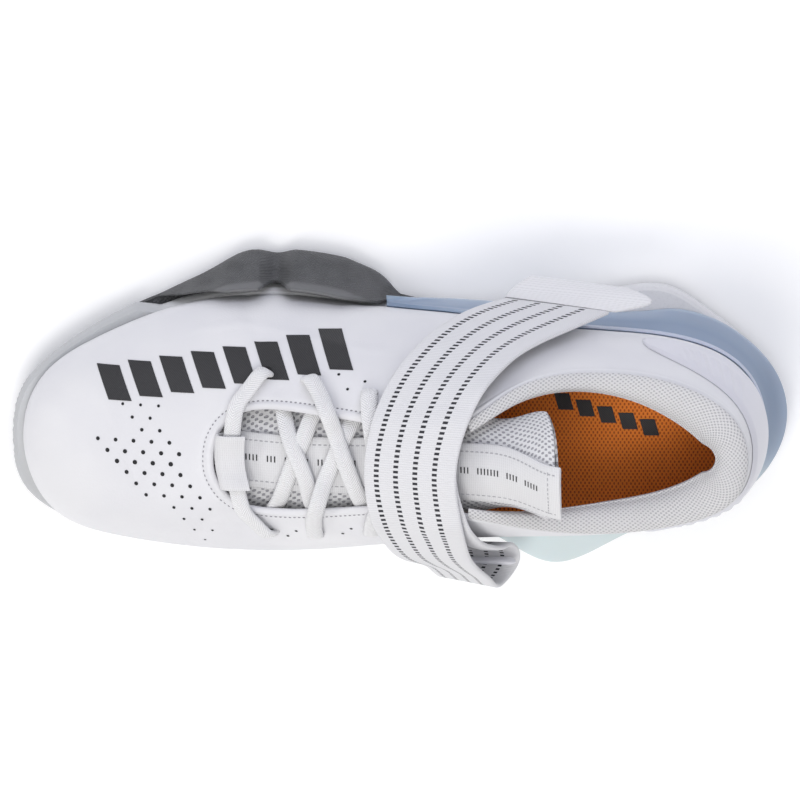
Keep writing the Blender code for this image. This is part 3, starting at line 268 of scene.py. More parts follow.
# The lace's strands over the throat, front to back. Along and across are a place in plan, shares of LENGTH
# and BALL_WIDTH. Lift is the middle's height in millimetres off the upper or the tongue, as over says.
Lace = namedtuple("Lace", "along across over lift")
LACE_ROWS = {
    "bar": (
        Lace(0.665, -0.242, "upper", 2.3),
        Lace(0.680, -0.194, "upper", 2.4),
        Lace(0.697, -0.128, "upper", 3.4),
        Lace(0.705, -0.062, "tongue", 12.2),
        Lace(0.708, 0.012, "tongue", 8.4),
        Lace(0.708, 0.090, "tongue", 6.6),
        Lace(0.701, 0.172, "tongue", 9.6),
        Lace(0.690, 0.250, "upper", 2.4),
        Lace(0.676, 0.296, "upper", 2.4),
        Lace(0.660, 0.342, "upper", 2.3),
    ),
    "first_over": (
        Lace(0.642, -0.132, "tongue", 3.9),
        Lace(0.639, -0.085, "tongue", 4.3),
        Lace(0.630, -0.002, "tongue", 5.8),
        Lace(0.619, 0.072, "tongue", 5.8),
        Lace(0.611, 0.145, "tongue", 4.5),
        Lace(0.607, 0.205, "tongue", 3.4),
        Lace(0.603, 0.238, "tongue", 2.6),
    ),
    "first_under": (
        Lace(0.655, 0.250, "tongue", 2.4),
        Lace(0.650, 0.226, "tongue", 2.8),
        Lace(0.641, 0.162, "tongue", 4.5),
        Lace(0.632, 0.094, "tongue", 4.2),
        Lace(0.623, 0.027, "tongue", 4.2),
        Lace(0.613, -0.040, "tongue", 4.2),
        Lace(0.605, -0.096, "tongue", 4.0),
        Lace(0.600, -0.122, "tongue", 4.0),
    ),
    "second_over": (
        Lace(0.605, -0.226, "upper", 2.3),
        Lace(0.593, -0.182, "upper", 2.4),
        Lace(0.582, -0.124, "tongue", 14.0),
        Lace(0.573, -0.048, "tongue", 7.2),
        Lace(0.564, 0.026, "tongue", 6.2),
        Lace(0.555, 0.100, "tongue", 5.0),
        Lace(0.546, 0.172, "tongue", 4.2),
        Lace(0.540, 0.212, "tongue", 3.0),
    ),
    "second_under": (
        Lace(0.601, 0.336, "upper", 2.3),
        Lace(0.602, 0.284, "upper", 2.4),
        Lace(0.597, 0.205, "tongue", 11.5),
        Lace(0.588, 0.125, "tongue", 6.2),
        Lace(0.578, 0.055, "tongue", 4.4),
        Lace(0.567, -0.019, "tongue", 4.4),
        Lace(0.557, -0.070, "tongue", 4.2),
        Lace(0.550, -0.102, "tongue", 4.0),
    ),
    "third_over": (
        Lace(0.529, -0.190, "upper", 2.3),
        Lace(0.528, -0.150, "upper", 3.0),
        Lace(0.527, -0.080, "tongue", 12.0),
        Lace(0.524, -0.010, "tongue", 6.0),
        Lace(0.519, 0.075, "tongue", 5.6),
        Lace(0.513, 0.150, "tongue", 6.3),
        Lace(0.508, 0.202, "tongue", 3.1),
    ),
    "third_under": (
        Lace(0.530, 0.310, "upper", 2.3),
        Lace(0.526, 0.258, "upper", 2.4),
        Lace(0.514, 0.170, "tongue", 9.9),
        Lace(0.500, 0.080, "tongue", 5.8),
        Lace(0.490, 0.000, "tongue", 5.4),
        Lace(0.481, -0.070, "tongue", 4.8),
        Lace(0.478, -0.098, "tongue", 4.0),
    ),
}


def spline(knots, values, period=None):
    """A smooth cubic through the values at the knots, closed if a period is given."""
    t = np.asarray(knots, float)
    y = np.asarray(values, float).reshape(len(t), -1)
    n = len(t)
    ends = np.append(t, t[0] + period) if period else t
    h = np.diff(ends)
    rise = (np.roll(y, -1, axis=0) - y)[: len(h)] / h[:, None]
    system = np.zeros((n, n))
    right = np.zeros_like(y)
    for i in range(n):
        if period is None and i == 0:
            system[0, :2] = 2, 1
            right[0] = 3 * rise[0]
        elif period is None and i == n - 1:
            system[i, i - 1 :] = 1, 2
            right[i] = 3 * rise[-1]
        else:
            system[i, i - 1] += h[i]
            system[i, i] += 2 * (h[i - 1] + h[i])
            system[i, (i + 1) % n] += h[i - 1]
            right[i] = 3 * (h[i] * rise[i - 1] + h[i - 1] * rise[i])
    slope = np.linalg.solve(system, right)

    def at(u):
        u = np.asarray(u, float)
        if period:
            u = t[0] + np.mod(u - t[0], period)
        i = np.clip(np.searchsorted(ends, u, side="right") - 1, 0, len(h) - 1)
        j = (i + 1) % n
        w = h[i][..., None]
        s = np.clip((u - ends[i]) / h[i], 0, 1)[..., None]
        return (
            (1 + 2 * s) * (1 - s) ** 2 * y[i]
            + s * (1 - s) ** 2 * w * slope[i]
            + s**2 * (3 - 2 * s) * y[j]
            - s**2 * (1 - s) * w * slope[j]
        )

    return at


def shares_along(points, closed):
    """Each point's share of the way along its polyline, or round it."""
    points = np.asarray(points, float)
    steps = np.linalg.norm(np.diff(points, axis=0), axis=1)
    reach = np.concatenate([[0], np.cumsum(steps)])
    whole = reach[-1] + (np.linalg.norm(points[0] - points[-1]) if closed else 0)
    return reach / whole


def through(points, count):
    """Even places on the smooth curve through some points."""
    return spline(shares_along(points, closed=False), points)(np.linspace(0, 1, count))


def interpolate(at, knots, rows):
    """Rows between the knots, straight from one to the next."""
    return np.stack([np.interp(at, knots, column) for column in rows.T], axis=-1)


def round_angles(count):
    """Even angles once round."""
    return np.linspace(0, 2 * np.pi, count, endpoint=False)


def smooth_step(x):
    x = np.clip(x, 0, 1)
    return x * x * (3 - 2 * x)


def unit(vectors):
    return vectors / np.maximum(np.linalg.norm(vectors, axis=-1, keepdims=True), 1e-9)


def make_footprint():
    rows = np.array([row[1:] for row in FOOTPRINT_ROWS])
    rows = rows * (LENGTH, BALL_WIDTH, BALL_WIDTH, BALL_WIDTH)
    loop = spline(shares_along(rows[:, :2], closed=True), rows, period=1.0)
    return loop(np.arange(DENSE) / DENSE)


FOOTPRINT = make_footprint()


def nearest_footprint(point):
    """The footprint row nearest to a point in plan, between the dense ones."""
    start = FOOTPRINT
    step = np.roll(FOOTPRINT, -1, axis=0) - FOOTPRINT
    reach = ((point - start[:, :2]) * step[:, :2]).sum(1) / (step[:, :2] ** 2).sum(1)
    rows = start + np.clip(reach, 0, 1)[:, None] * step
    return rows[np.argmin(np.linalg.norm(rows[:, :2] - point, axis=1))]


def footprint_side(x, side):
    """The footprint's across, base and plate columns at x, on the medial side, +1, or the lateral one, -1."""
    first = np.argmin(FOOTPRINT[:, 0])
    loop = np.roll(FOOTPRINT, -first, axis=0)
    last = np.argmax(loop[:, 0])
    half = loop[: last + 1] if side > 0 else np.vstack([loop[last:], loop[:1]])[::-1]
    return interpolate(x, half[:, 0], half[:, 1:])


def toe_share(x):
    start = TOE_SPRING_START * LENGTH
    return np.clip((x - start) / (LENGTH - start), 0, 1) ** 2


def ground(x):
    """The outsole's underside, with the toe spring and a small bevel at the heel."""
    bevel = np.clip(1 - np.asarray(x) / (HEEL_BEVEL_END * LENGTH), 0, 1) ** 2
    return TOE_SPRING * toe_share(x) + HEEL_BEVEL * bevel


BED = spline([row.along for row in BED_ROWS], [row.drop for row in BED_ROWS])


def footbed(x):
    """The sole's top under the foot."""
    drop = BED(np.asarray(x, float) / LENGTH)[..., 0]
    stack = FOREFOOT_STACK + (HEEL_STACK - FOREFOOT_STACK) * drop
    return stack + (TOE_SPRING - TOE_THINNING) * toe_share(x)


def midsole_top(x):
    """The foam's top: a low base under the heel wedge, the foot bed in front of it."""
    share = smooth_step((np.asarray(x) / LENGTH - WEDGE_START) / (WEDGE_END - WEDGE_START))
    return BASE_HEIGHT + share * (footbed(x) - BASE_HEIGHT)


def make_upper():
    rows = np.array([row[1:] for row in UPPER_ROWS])
    rows *= (LENGTH, BALL_WIDTH, LENGTH, BALL_WIDTH, COLLAR_HEIGHT, BALL_WIDTH, 1, 1, BALL_WIDTH)
    middle = (rows[:, :2] + rows[:, 2:4]) / 2
    return spline(shares_along(middle, closed=True), rows, period=1.0)


UPPER = make_upper()
# Makes v (1 - v) ** 2 reach 1 at its highest
SWELL = 27 / 4


def upper_outer(u, v):
    """A point of the upper's outer face: u goes once round, v from the sole to the throat or collar."""
    u, v = np.broadcast_arrays(np.asarray(u, float), np.asarray(v, float))
    row = UPPER(u)
    foot = row[..., :2]
    edge = row[..., 2:4]
    step = 1e-4
    along = UPPER(u + step)[..., :2] - UPPER(u - step)[..., :2]
    out = unit(np.stack([-along[..., 1], along[..., 0]], axis=-1))
    angle = v * np.pi / 2
    power = 2 / row[..., 6]
    inward = 1 - np.cos(angle) ** power
    climb = (1 - row[..., 7]) * np.sin(angle) ** power + row[..., 7] * inward
    swell = row[..., 5] * SWELL * v * (1 - v) ** 2
    plan = foot + (edge - foot) * inward[..., None] + out * swell[..., None]
    low = footbed(row[..., 0]) + SEAT_GAP
    return np.concatenate([plan, (low + (row[..., 4] - low) * climb)[..., None]], axis=-1)


def upper_directions(u, v):
    """The outward normal, and the direction that climbs the wall."""
    step = 2e-3
    high, low = np.minimum(v + step, 1), np.maximum(v - step, 0)
    climb = upper_outer(u, high) - upper_outer(u, low)
    along = upper_outer(u + step, v) - upper_outer(u - step, v)
    return unit(np.cross(climb, along)), unit(climb)


def upper_point(u, v, depth=0.0, rise=0.0):
    """A point at a depth under the upper's outer face, and a rise beyond it up the wall."""
    u, v = np.broadcast_arrays(np.asarray(u, float), np.asarray(v, float))
    normal, climb = upper_directions(u, v)
    depth = np.broadcast_to(np.asarray(depth, float), u.shape)[..., None]
    rise = np.broadcast_to(np.asarray(rise, float), u.shape)[..., None]
    return upper_outer(u, v) - normal * depth + climb * rise


def round_the_sole(x):
    """Plan rows once round: x, across, base and plate, with the outward direction at each."""
    medial = np.column_stack([x, footprint_side(x, 1)])
    lateral = np.column_stack([x, footprint_side(x, -1)])[1:-1][::-1]
    rows = np.concatenate([medial, lateral])
    return rows, outward(rows[:, :2])


def side_columns(rows, out, profile):
    """Columns of a sole piece's side, from pairs: how far in, and the height by place along the shoe."""
    columns = []
    for inset, height in profile:
        plan = rows[:, :2] - out * inset[:, None]
        columns.append(np.column_stack([plan, height(plan[:, 0])]))
    return np.stack(columns, axis=1)


def wrap_shares(rows):
    """The rubber wrap's height, flare and recess shares at each row, none on the medial side."""
    table = np.array([row[1:] for row in WRAP_ROWS])
    lateral = rows[:, 1] < 0
    place = rows[:, 0] / LENGTH
    height, flare = np.clip(spline(table[:, 0], table[:, 1:3])(place), 0, 1).T * lateral
    return height, flare, np.interp(place, table[:, 0], table[:, 3]) * lateral


def outward(plan):
    """The outward direction at each point of a closed line in plan that runs heel, medial, toe, lateral."""
    along = np.roll(plan, -1, axis=0) - np.roll(plan, 1, axis=0)
    return unit(np.stack([-along[:, 1], along[:, 0]], axis=1))


def places_at(x, column):
    """Places round the upper where a column of its rows is x: the medial one, and the lateral one."""
    dense = np.linspace(-0.25, 1, 5001)
    values = UPPER(dense)[:, column]
    back = np.argmin(np.where(dense < 0.25, values, np.inf))
    front = np.argmax(np.where(dense > 0.25, values, -np.inf))
    medial = np.interp(x, values[back : front + 1], dense[back : front + 1])
    once = dense[front] + np.linspace(0, 1, 4001) * (1 + dense[back] - dense[front])
    lateral = np.interp(x, UPPER(once)[::-1, column], once[::-1])
    return medial, lateral


def foot_stations(front, count):
    """Stations under the upper from its heel to a share of LENGTH, close together at a round end."""
    dense = UPPER(np.linspace(0, 1, 5001))[:, 0]
    back = dense.min()
    if front * LENGTH < dense.max():
        return back + (front * LENGTH - back) * (1 - np.cos(np.linspace(0, np.pi / 2, count)))
    return back + (dense.max() - back) * (1 - np.cos(np.linspace(0, np.pi, count))) / 2


def band_places(front, count):
    """Even places round the heel, between the two points at a share of LENGTH along the edge."""
    medial, lateral = places_at(np.array([front * LENGTH]), 2)
    return np.linspace(lateral[0] - 1, medial[0], count)


# The collar pad's section: height up the wall, room under the outer face, a share of the pad's thickness
# added to it, and the rise past the edge
Pad = namedtuple("Pad", "height depth thick rise")
PAD_ROWS = (
    Pad(0.52, 2.8, 0.00, 0.0),
    Pad(0.72, 2.8, 0.00, 0.0),
    Pad(0.90, 2.8, 0.00, 0.0),
    Pad(1.00, 2.8, 0.00, 0.0),
    Pad(1.00, 2.6, 0.00, 0.5),
    Pad(1.00, 0.3, 0.00, 0.6),
    Pad(1.00, 0.0, 0.00, 1.6),
    Pad(1.00, 1.2, 0.10, 3.0),
    Pad(1.00, 2.3, 0.40, 3.6),
    Pad(1.00, 2.3, 0.75, 2.4),
    Pad(1.00, 2.3, 0.97, 0.0),
    Pad(0.94, 2.3, 1.00, 0.0),
    Pad(0.82, 2.3, 0.85, 0.0),
    Pad(0.66, 2.3, 0.50, 0.0),
    Pad(0.52, 4.0, 0.00, 0.0),
)


def make_tongue_curve():
    rows = np.array([row[1:] for row in TONGUE_ROWS])
    rows *= (LENGTH, BALL_WIDTH, COLLAR_HEIGHT, BALL_WIDTH, COLLAR_HEIGHT, 1)
    knots = shares_along(rows[:, :3], closed=False)
    return knots[-2], spline(knots, rows)


TONGUE_END, TONGUE = make_tongue_curve()


def tongue_face(s, t):
    """A point of the tongue's top: s from the throat to its top, t across it from -1 to 1."""
    row = TONGUE(s)
    across = row[..., 1] + row[..., 3] * t
    return np.stack([row[..., 0], across, row[..., 2] - row[..., 4] * t * t], axis=-1)


def tongue_point(s, t, depth):
    s, t = np.broadcast_arrays(np.asarray(s, float), np.asarray(t, float))
    step = 1e-3
    along = tongue_face(s + step, t) - tongue_face(s - step, t)
    across = tongue_face(s, t + step) - tongue_face(s, t - step)
    down = unit(np.cross(along, across))
    down *= -np.sign(down[..., 2:3])
    return tongue_face(s, t) + down * np.broadcast_to(depth, s.shape)[..., None]


def upper_place(plan):
    """Where on the upper's outer face a point of the plan lies."""
    u, v = np.meshgrid(np.linspace(0, 1, 241), np.linspace(0.15, 1, 41), indexing="ij")
    far = np.linalg.norm(upper_outer(u, v)[..., :2] - plan, axis=-1)
    nearest = np.unravel_index(np.argmin(far), far.shape)
    place = np.array([u[nearest], v[nearest]])
    step = 1e-4
    for _ in range(6):
        here = upper_outer(*place)[:2]
        slopes = [(upper_outer(*(place + shift))[:2] - here) / step for shift in np.eye(2) * step]
        place = place + np.linalg.solve(np.transpose(slopes), plan - here)
    return place


def tongue_place(plan):
    """Where on the tongue's top a point of the plan lies."""
    s = np.linspace(0, 1, 801)
    along = TONGUE(s)[:, 0]
    place = np.interp(-plan[0], -along, s)
    row = TONGUE(place)
    return place, (plan[1] - row[1]) / row[3]


def strand_points(strand):
    """The points that a strand's middle goes through."""
    points = []
    for row in LACE_ROWS[strand]:
        plan = np.array([row.along * LENGTH, row.across * BALL_WIDTH])
        if row.over == "upper":
            points.append(upper_point(*upper_place(plan), -row.lift))
        else:
            points.append(tongue_face(*tongue_place(plan)) + (0, 0, row.lift))
    return points


def lace_sections(path, corners=8, flatness=0.7, fullness=1.0):
    """Flat oval cross-sections of the lace along a path, lying flat to the strap's axis."""
    up = unit((path - (0, *STRAP_AXIS)) * (0, 1, 1))
    along = unit(np.gradient(path, axis=0))
    side = unit(np.cross(along, up))
    above = unit(np.cross(side, along))
    x, y = np.cos(round_angles(corners)), np.sin(round_angles(corners))
    flat = LACE_WIDTH / 2 * np.sign(x) * np.abs(x) ** flatness
    tall = LACE_THICKNESS / 2 * np.sign(y) * np.abs(y) ** fullness
    return path[:, None] + side[:, None] * flat[None, :, None] + above[:, None] * tall[None, :, None]


def polar(points):
    """Place along the shoe, angle round the strap's axis and distance from it."""
    across, up = points[..., 1] - STRAP_AXIS[0], points[..., 2] - STRAP_AXIS[1]
    return points[..., 0], np.arctan2(across, up), np.hypot(across, up)


def make_hull():
    """What the strap lies on, as polar samples: the upper, and the lace strands over the throat."""
    u, v = np.meshgrid(np.linspace(0, 1, 361), np.linspace(0.05, 1, 41), indexing="ij")
    samples = [upper_outer(u, v).reshape(-1, 3)]
    for strand in LACE_ROWS:
        sections = lace_sections(through(strand_points(strand), PATH_POINTS))
        samples += [sections.reshape(-1, 3), (sections[1:] / 2 + sections[:-1] / 2).reshape(-1, 3)]
    return np.stack(polar(np.concatenate(samples)), axis=1)


# How near a hull sample is to lift the strap, in millimetres along and in radians round
HULL_REACH = 3.0
HULL_TURN = 0.07
HULL = make_hull()


def clear_of_hull(points, room):
    """Move points away from the strap's axis until each has its room over the hull, evenly along it."""
    along, angle, reach = polar(points)
    lift = np.zeros_like(reach)
    for place in np.ndindex(reach.shape):
        beside = np.abs(HULL[:, 0] - along[place]) < HULL_REACH
        near = beside & (np.abs(HULL[:, 1] - angle[place]) < HULL_TURN)
        if near.any():
            lift[place] = max(0.0, HULL[near, 2].max() + room[place] - reach[place])
    rows, columns = lift.shape
    padded = np.pad(lift, 1, mode="edge")
    widest = np.max([padded[i : i + rows, 1:-1] for i in range(3)], axis=0)
    padded = np.pad(widest, ((2, 2), (1, 1)), mode="edge")
    smooth = np.mean([padded[i : i + rows, j : j + columns] for i in range(5) for j in range(3)], axis=0)
    wanted = reach + np.maximum(smooth, lift)
    moved = points.copy()
    moved[..., 1] = STRAP_AXIS[0] + np.sin(angle) * wanted
    moved[..., 2] = STRAP_AXIS[1] + np.cos(angle) * wanted
    return moved


def band_grid(rows, stations, columns):
    """A band's middle face from its rows, and the room that each of its points needs."""
    table = np.array([row[1:] for row in rows])
    table *= (LENGTH, BALL_WIDTH, COLLAR_HEIGHT, LENGTH, BALL_WIDTH, COLLAR_HEIGHT, 1)
    shares = shares_along((table[:, :3] + table[:, 3:6]) / 2, closed=False)
    rows = spline(shares, table)(np.linspace(0, 1, stations))
    side = np.linspace(0, 1, columns)[None, :, None]
    points = rows[:, None, :3] * (1 - side) + rows[:, None, 3:6] * side
    return points, np.repeat(rows[:, 6:7], columns, axis=1)


def frame_shift():
    """From the shoe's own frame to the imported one, in millimetres."""
    u, v = np.meshgrid(np.arange(UPPER_COLUMNS) / UPPER_COLUMNS, np.linspace(0, 1, UPPER_RINGS + 1))
    widest = upper_outer(u, v)[..., 1].max()
    return np.array([CAD_BOX[0][0] / METRES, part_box("upper")[1][1] / METRES - widest, 0.0])


FRAME_SHIFT = frame_shift()


def place(points):
    """Millimetres in the shoe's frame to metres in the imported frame."""
    return (np.asarray(points, float) + FRAME_SHIFT) * METRES


class Graph:
    """A Principled material whose patterns are drawn in millimetres from the mesh's own unrolled lengths."""

    def __init__(self, name, **settings):
        self.material = bpy.data.materials.new(name)
        self.material.use_nodes = True
        self.tree = self.material.node_tree
        self.shader = self.tree.nodes["Principled BSDF"]
        for key, value in settings.items():
            self.set(key, value)

    def set(self, key, value):
        socket = self.shader.inputs[key.replace("_", " ")]
        self.join(value, socket)

    def join(self, value, socket):
        if isinstance(value, bpy.types.NodeSocket):
            self.tree.links.new(value, socket)
        elif hasattr(socket.default_value, "__len__") and len(value) == 3 and len(socket.default_value) == 4:
            socket.default_value = (*value, 1.0)
        else:
            socket.default_value = value

    def node(self, kind, inputs, **settings):
        made = self.tree.nodes.new(kind)
        for key, value in settings.items():
            setattr(made, key, value)
        for key, value in inputs.items():
            self.join(value, made.inputs[key])
        return made

    def math(self, operation, *values):
        return self.node("ShaderNodeMath", dict(enumerate(values)), operation=operation).outputs[0]

    def times(self, first, second):
        return self.math("MULTIPLY", first, second)

    def plus(self, first, second):
        return self.math("ADD", first, second)

    def off(self, value, middle):
        """How far a value is from a middle one, either way."""
        return self.math("ABSOLUTE", self.math("SUBTRACT", value, middle))

    def unrolled(self):
        """Lengths along and across the mesh, in millimetres."""
        uv = self.node("ShaderNodeUVMap", {}, uv_map="unrolled").outputs[0]
        parts = self.node("ShaderNodeSeparateXYZ", {0: uv}).outputs
        return parts[0], parts[1]

    def metres(self):
        """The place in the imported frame."""
        return self.node("ShaderNodeTexCoord", {}).outputs["Object"]

    def position(self):
        """X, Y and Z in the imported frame, in metres."""
        return self.node("ShaderNodeSeparateXYZ", {0: self.metres()}).outputs

    def noise(self, pitch, detail=3.0, rough=0.5):
        """Noise whose grains are about pitch millimetres."""
        scale = 1 / (pitch * METRES)
        inputs = {"Vector": self.metres(), "Scale": scale, "Detail": detail, "Roughness": rough}
        return self.node("ShaderNodeTexNoise", inputs).outputs["Fac"]

    def cells(self, pitch):
        inputs = {"Vector": self.metres(), "Scale": 1.0 / (pitch * METRES)}
        return self.node("ShaderNodeTexVoronoi", inputs).outputs["Distance"]

    def wave(self, along, pitch):
        return self.math("SINE", self.times(along, 2 * np.pi / pitch))

    def lattice(self, along, across, pitch_along, pitch_across):
        """Peaks on a diamond lattice, from -1 to 1."""
        return self.times(self.wave(along, 2 * pitch_along), self.wave(across, 2 * pitch_across))

    def weave(self, along, across, rib, pitch, share):
        """Ribs across a tape, a share of their height broken up by a wave across it."""
        broken = self.plus(self.times(self.wave(across, pitch), share), 1 - share)
        return self.times(self.wave(along, rib), broken)

    def ramp(self, value, low, high):
        """A smooth rise from 0 at low to 1 at high."""
        inputs = {"Value": value, "From Min": low, "From Max": high}
        return self.node("ShaderNodeMapRange", inputs, interpolation_type="SMOOTHSTEP").outputs[0]

    def mix(self, factor, low, high):
        """A colour between two, its sockets picked by number because three kinds share their names."""
        return self.node("ShaderNodeMix", {0: factor, 6: low, 7: high}, data_type="RGBA").outputs[2]

    def bump(self, height, depth, base=None):
        """A bump depth millimetres high, on top of another one if given."""
        inputs = {"Height": height, "Strength": 1.0, "Distance": depth * METRES}
        if base is not None:
            inputs["Normal"] = base
        return self.node("ShaderNodeBump", inputs).outputs[0]

    def done(self, normal=None):
        if normal is not None:
            self.set("Normal", normal)
        return self.material


def synthetic_material():
    """Smooth coated cloth with a fine grain and faint wear."""
    g = Graph("upper_synthetic", Roughness=0.46, Coat_Weight=0.06, Coat_Roughness=0.4)
    shade = g.ramp(g.noise(38.0, 2.0), 0.35, 0.7)
    g.set("Base_Color", g.mix(shade, (0.70, 0.70, 0.725), (0.745, 0.745, 0.76)))
    fine = g.bump(g.noise(0.55, 4.0, 0.6), 0.05)
    grain = g.bump(g.cells(0.9), 0.035, fine)
    return g.done(g.bump(g.noise(14.0, 2.0), 0.25, grain))


def film_material():
    """Glossy film over the heel, also on the keeper."""
    colour = (0.66, 0.66, 0.71)
    g = Graph("heel_film", Base_Color=colour, Roughness=0.34, Coat_Weight=0.15, Coat_Roughness=0.25)
    return g.done(g.bump(g.noise(0.6, 3.0), 0.02))


def foam_material():
    """Moulded foam: white, a pale grey band round the toe."""
    g = Graph("midsole_foam", Roughness=0.58)
    toe = g.ramp(g.position()[0], 0.070, 0.100)
    speckle = g.ramp(g.noise(1.2, 3.0, 0.7), 0.45, 0.75)
    white = g.mix(speckle, (0.74, 0.74, 0.75), (0.69, 0.69, 0.70))
    g.set("Base_Color", g.mix(toe, white, (0.50, 0.51, 0.52)))
    return g.done(g.bump(g.noise(0.8, 4.0, 0.7), 0.06))


def plate_material():
    """Frosted translucent plastic, with painted shade making its recessed waist a deeper blue."""
    g = Graph("heel_wedge", Roughness=0.3, Coat_Weight=0.2, Coat_Roughness=0.2, Subsurface_Weight=0.25)
    g.set("Subsurface_Radius", (0.5, 0.8, 1.0))
    g.set("Subsurface_Scale", 0.006)
    _, across, up = g.position()
    # The waist mask paints shade: it darkens the blue in the concave recess between the flare and the cup, on
    # the lateral and the medial side.
    waist = g.times(g.ramp(up, 0.014, 0.022), g.ramp(up, 0.038, 0.026))
    side = g.ramp(across, 0.012, 0.040)
    lateral = g.mix(waist, (0.40, 0.47, 0.57), (0.235, 0.31, 0.43))
    lateral = g.mix(g.ramp(up, 0.032, 0.042), lateral, (0.50, 0.54, 0.68))
    medial = g.mix(waist, (0.68, 0.75, 0.755), (0.60, 0.69, 0.70))
    g.set("Base_Color", g.mix(side, lateral, medial))
    return g.done(g.bump(g.noise(6.0, 2.0), 0.05))


def rubber_material():
    """Dark rubber with a fine dotted skin."""
    g = Graph("outsole_rubber", Roughness=0.62)
    along, across = g.unrolled()
    dots = g.lattice(along, across, 0.8, 0.8)
    tone = g.ramp(g.noise(9.0, 2.0), 0.3, 0.7)
    dark = g.mix(tone, (0.070, 0.072, 0.075), (0.098, 0.100, 0.104))
    lip = g.ramp(g.position()[2], 0.0245, 0.0275)
    g.set("Base_Color", g.mix(lip, dark, (0.135, 0.137, 0.142)))
    skin = g.times(dots, g.math("SUBTRACT", 1.0, lip))
    return g.done(g.bump(skin, 0.16, g.bump(g.noise(0.7, 3.0), 0.03)))


def mesh_material(name, pitch, ground, hole, depth):
    """Knitted spacer mesh: small holes on a diamond lattice, threads between them."""
    g = Graph(name, Roughness=0.85, Sheen_Weight=0.25, Sheen_Roughness=0.5)
    along, across = g.unrolled()
    drift = g.times(g.math("SUBTRACT", g.noise(9.0, 1.0), 0.5), pitch * 0.5)
    along = g.plus(along, drift)
    peaks = g.lattice(along, across, pitch / 2, pitch * 0.36)
    holes = g.ramp(peaks, 0.12, 0.60)
    thread = g.times(g.wave(along, pitch / 6), 0.5)
    g.set("Base_Color", g.mix(holes, ground, hole))
    low = g.bump(thread, 0.03)
    return g.done(g.bump(g.times(holes, -1.0), depth, low))


def lining_material():
    """Brushed cloth inside the upper."""
    g = Graph("lining_cloth", Base_Color=(0.62, 0.60, 0.57), Roughness=0.9, Sheen_Weight=0.2)
    return g.done(g.bump(g.noise(0.5, 3.0, 0.7), 0.06))


def webbing_material(name, rib, colour=(0.72, 0.72, 0.73)):
    """Woven tape with ribs across it."""
    g = Graph(name, Roughness=0.72, Sheen_Weight=0.2, Sheen_Roughness=0.4)
    along, across = g.unrolled()
    weave = g.weave(along, across, rib, rib * 1.3, 0.35)
    dark = tuple(0.90 * c for c in colour)
    g.set("Base_Color", g.mix(g.ramp(weave, -1.0, 0.2), dark, colour))
    return g.done(g.bump(weave, 0.05, g.bump(g.noise(0.4, 2.0), 0.03)))


# Lines of the strap, as shares of its width, their width and the pitch of their dashes
STRAP_WIDTH = 34.0
STRIPES = (0.125, 0.345, 0.565, 0.785)
STRIPE_WIDTH = 1.9
STRIPE_BLUR = 0.24
DASH_PITCH = 2.0


def strap_material(width):
    """Elastic webbing with four lines of short dark dashes across its ribs."""
    g = Graph("strap_webbing", Roughness=0.7, Sheen_Weight=0.2, Sheen_Roughness=0.4)
    along, across = g.unrolled()
    dash = g.ramp(g.wave(along, DASH_PITCH), -0.25, 0.15)
    lines = 0.0
    edges = (STRIPE_WIDTH + STRIPE_BLUR) / 2, (STRIPE_WIDTH - STRIPE_BLUR) / 2
    for share in STRIPES:
        lines = g.plus(lines, g.ramp(g.off(across, share * width), *edges))
    ink = g.times(dash, lines)
    weave = g.weave(along, across, 0.9, 0.7, 0.3)
    cloth = g.mix(g.ramp(weave, -1.0, 0.3), (0.64, 0.64, 0.66), (0.72, 0.72, 0.735))
    g.set("Base_Color", g.mix(ink, cloth, (0.018, 0.018, 0.024)))
    return g.done(g.bump(weave, 0.05, g.bump(g.noise(12.0, 2.0), 0.3)))


def lace_material():
    """Flat woven lace: slanted threads to each side of its middle."""
    g = Graph("lace_weave", Roughness=0.78, Sheen_Weight=0.3, Sheen_Roughness=0.4)
    along, across = g.unrolled()
    slant = g.off(across, 3.4)
    threads = g.wave(g.plus(along, g.times(slant, 0.8)), 1.0)
    g.set("Base_Color", g.mix(g.ramp(threads, -1.0, 0.0), (0.72, 0.72, 0.735), (0.84, 0.84, 0.845)))
    return g.done(g.bump(threads, 0.10, g.bump(g.noise(0.4, 2.0), 0.04)))


def insole_material():
    """Orange cloth with small dark knit dots."""
    g = Graph("insole_cloth", Roughness=0.88, Sheen_Weight=0.15)
    along, across = g.unrolled()
    dots = g.ramp(g.lattice(along, across, 0.8, 1.25), 0.10, 0.55)
    g.set("Base_Color", g.mix(dots, (0.95, 0.27, 0.035), (0.50, 0.10, 0.010)))
    return g.done(g.bump(dots, -0.12, g.bump(g.noise(0.5, 3.0), 0.05)))


def print_material():
    """Black print with a fine diagonal rib."""
    g = Graph("side_print", Roughness=0.5)
    along, across, _ = g.position()
    rib = g.wave(g.plus(along, across), 0.9 * METRES)
    g.set("Base_Color", g.mix(g.ramp(rib, -1.0, 1.0), (0.014, 0.014, 0.016), (0.030, 0.030, 0.033)))
    return g.done(g.bump(rib, 0.05))


def plain_material(name, colour, roughness):
    """One colour with a faint grain, for small marks."""
    g = Graph(name, Base_Color=colour, Roughness=roughness)
    return g.done(g.bump(g.noise(0.5, 3.0), 0.03))


def lengths(points, axis):
    """Running length of a grid along one axis, starting at zero."""
    steps = np.linalg.norm(np.diff(points, axis=axis), axis=-1)
    start = np.zeros_like(np.take(steps, [0], axis=axis))
    return np.concatenate([start, np.cumsum(steps, axis=axis)], axis=axis)


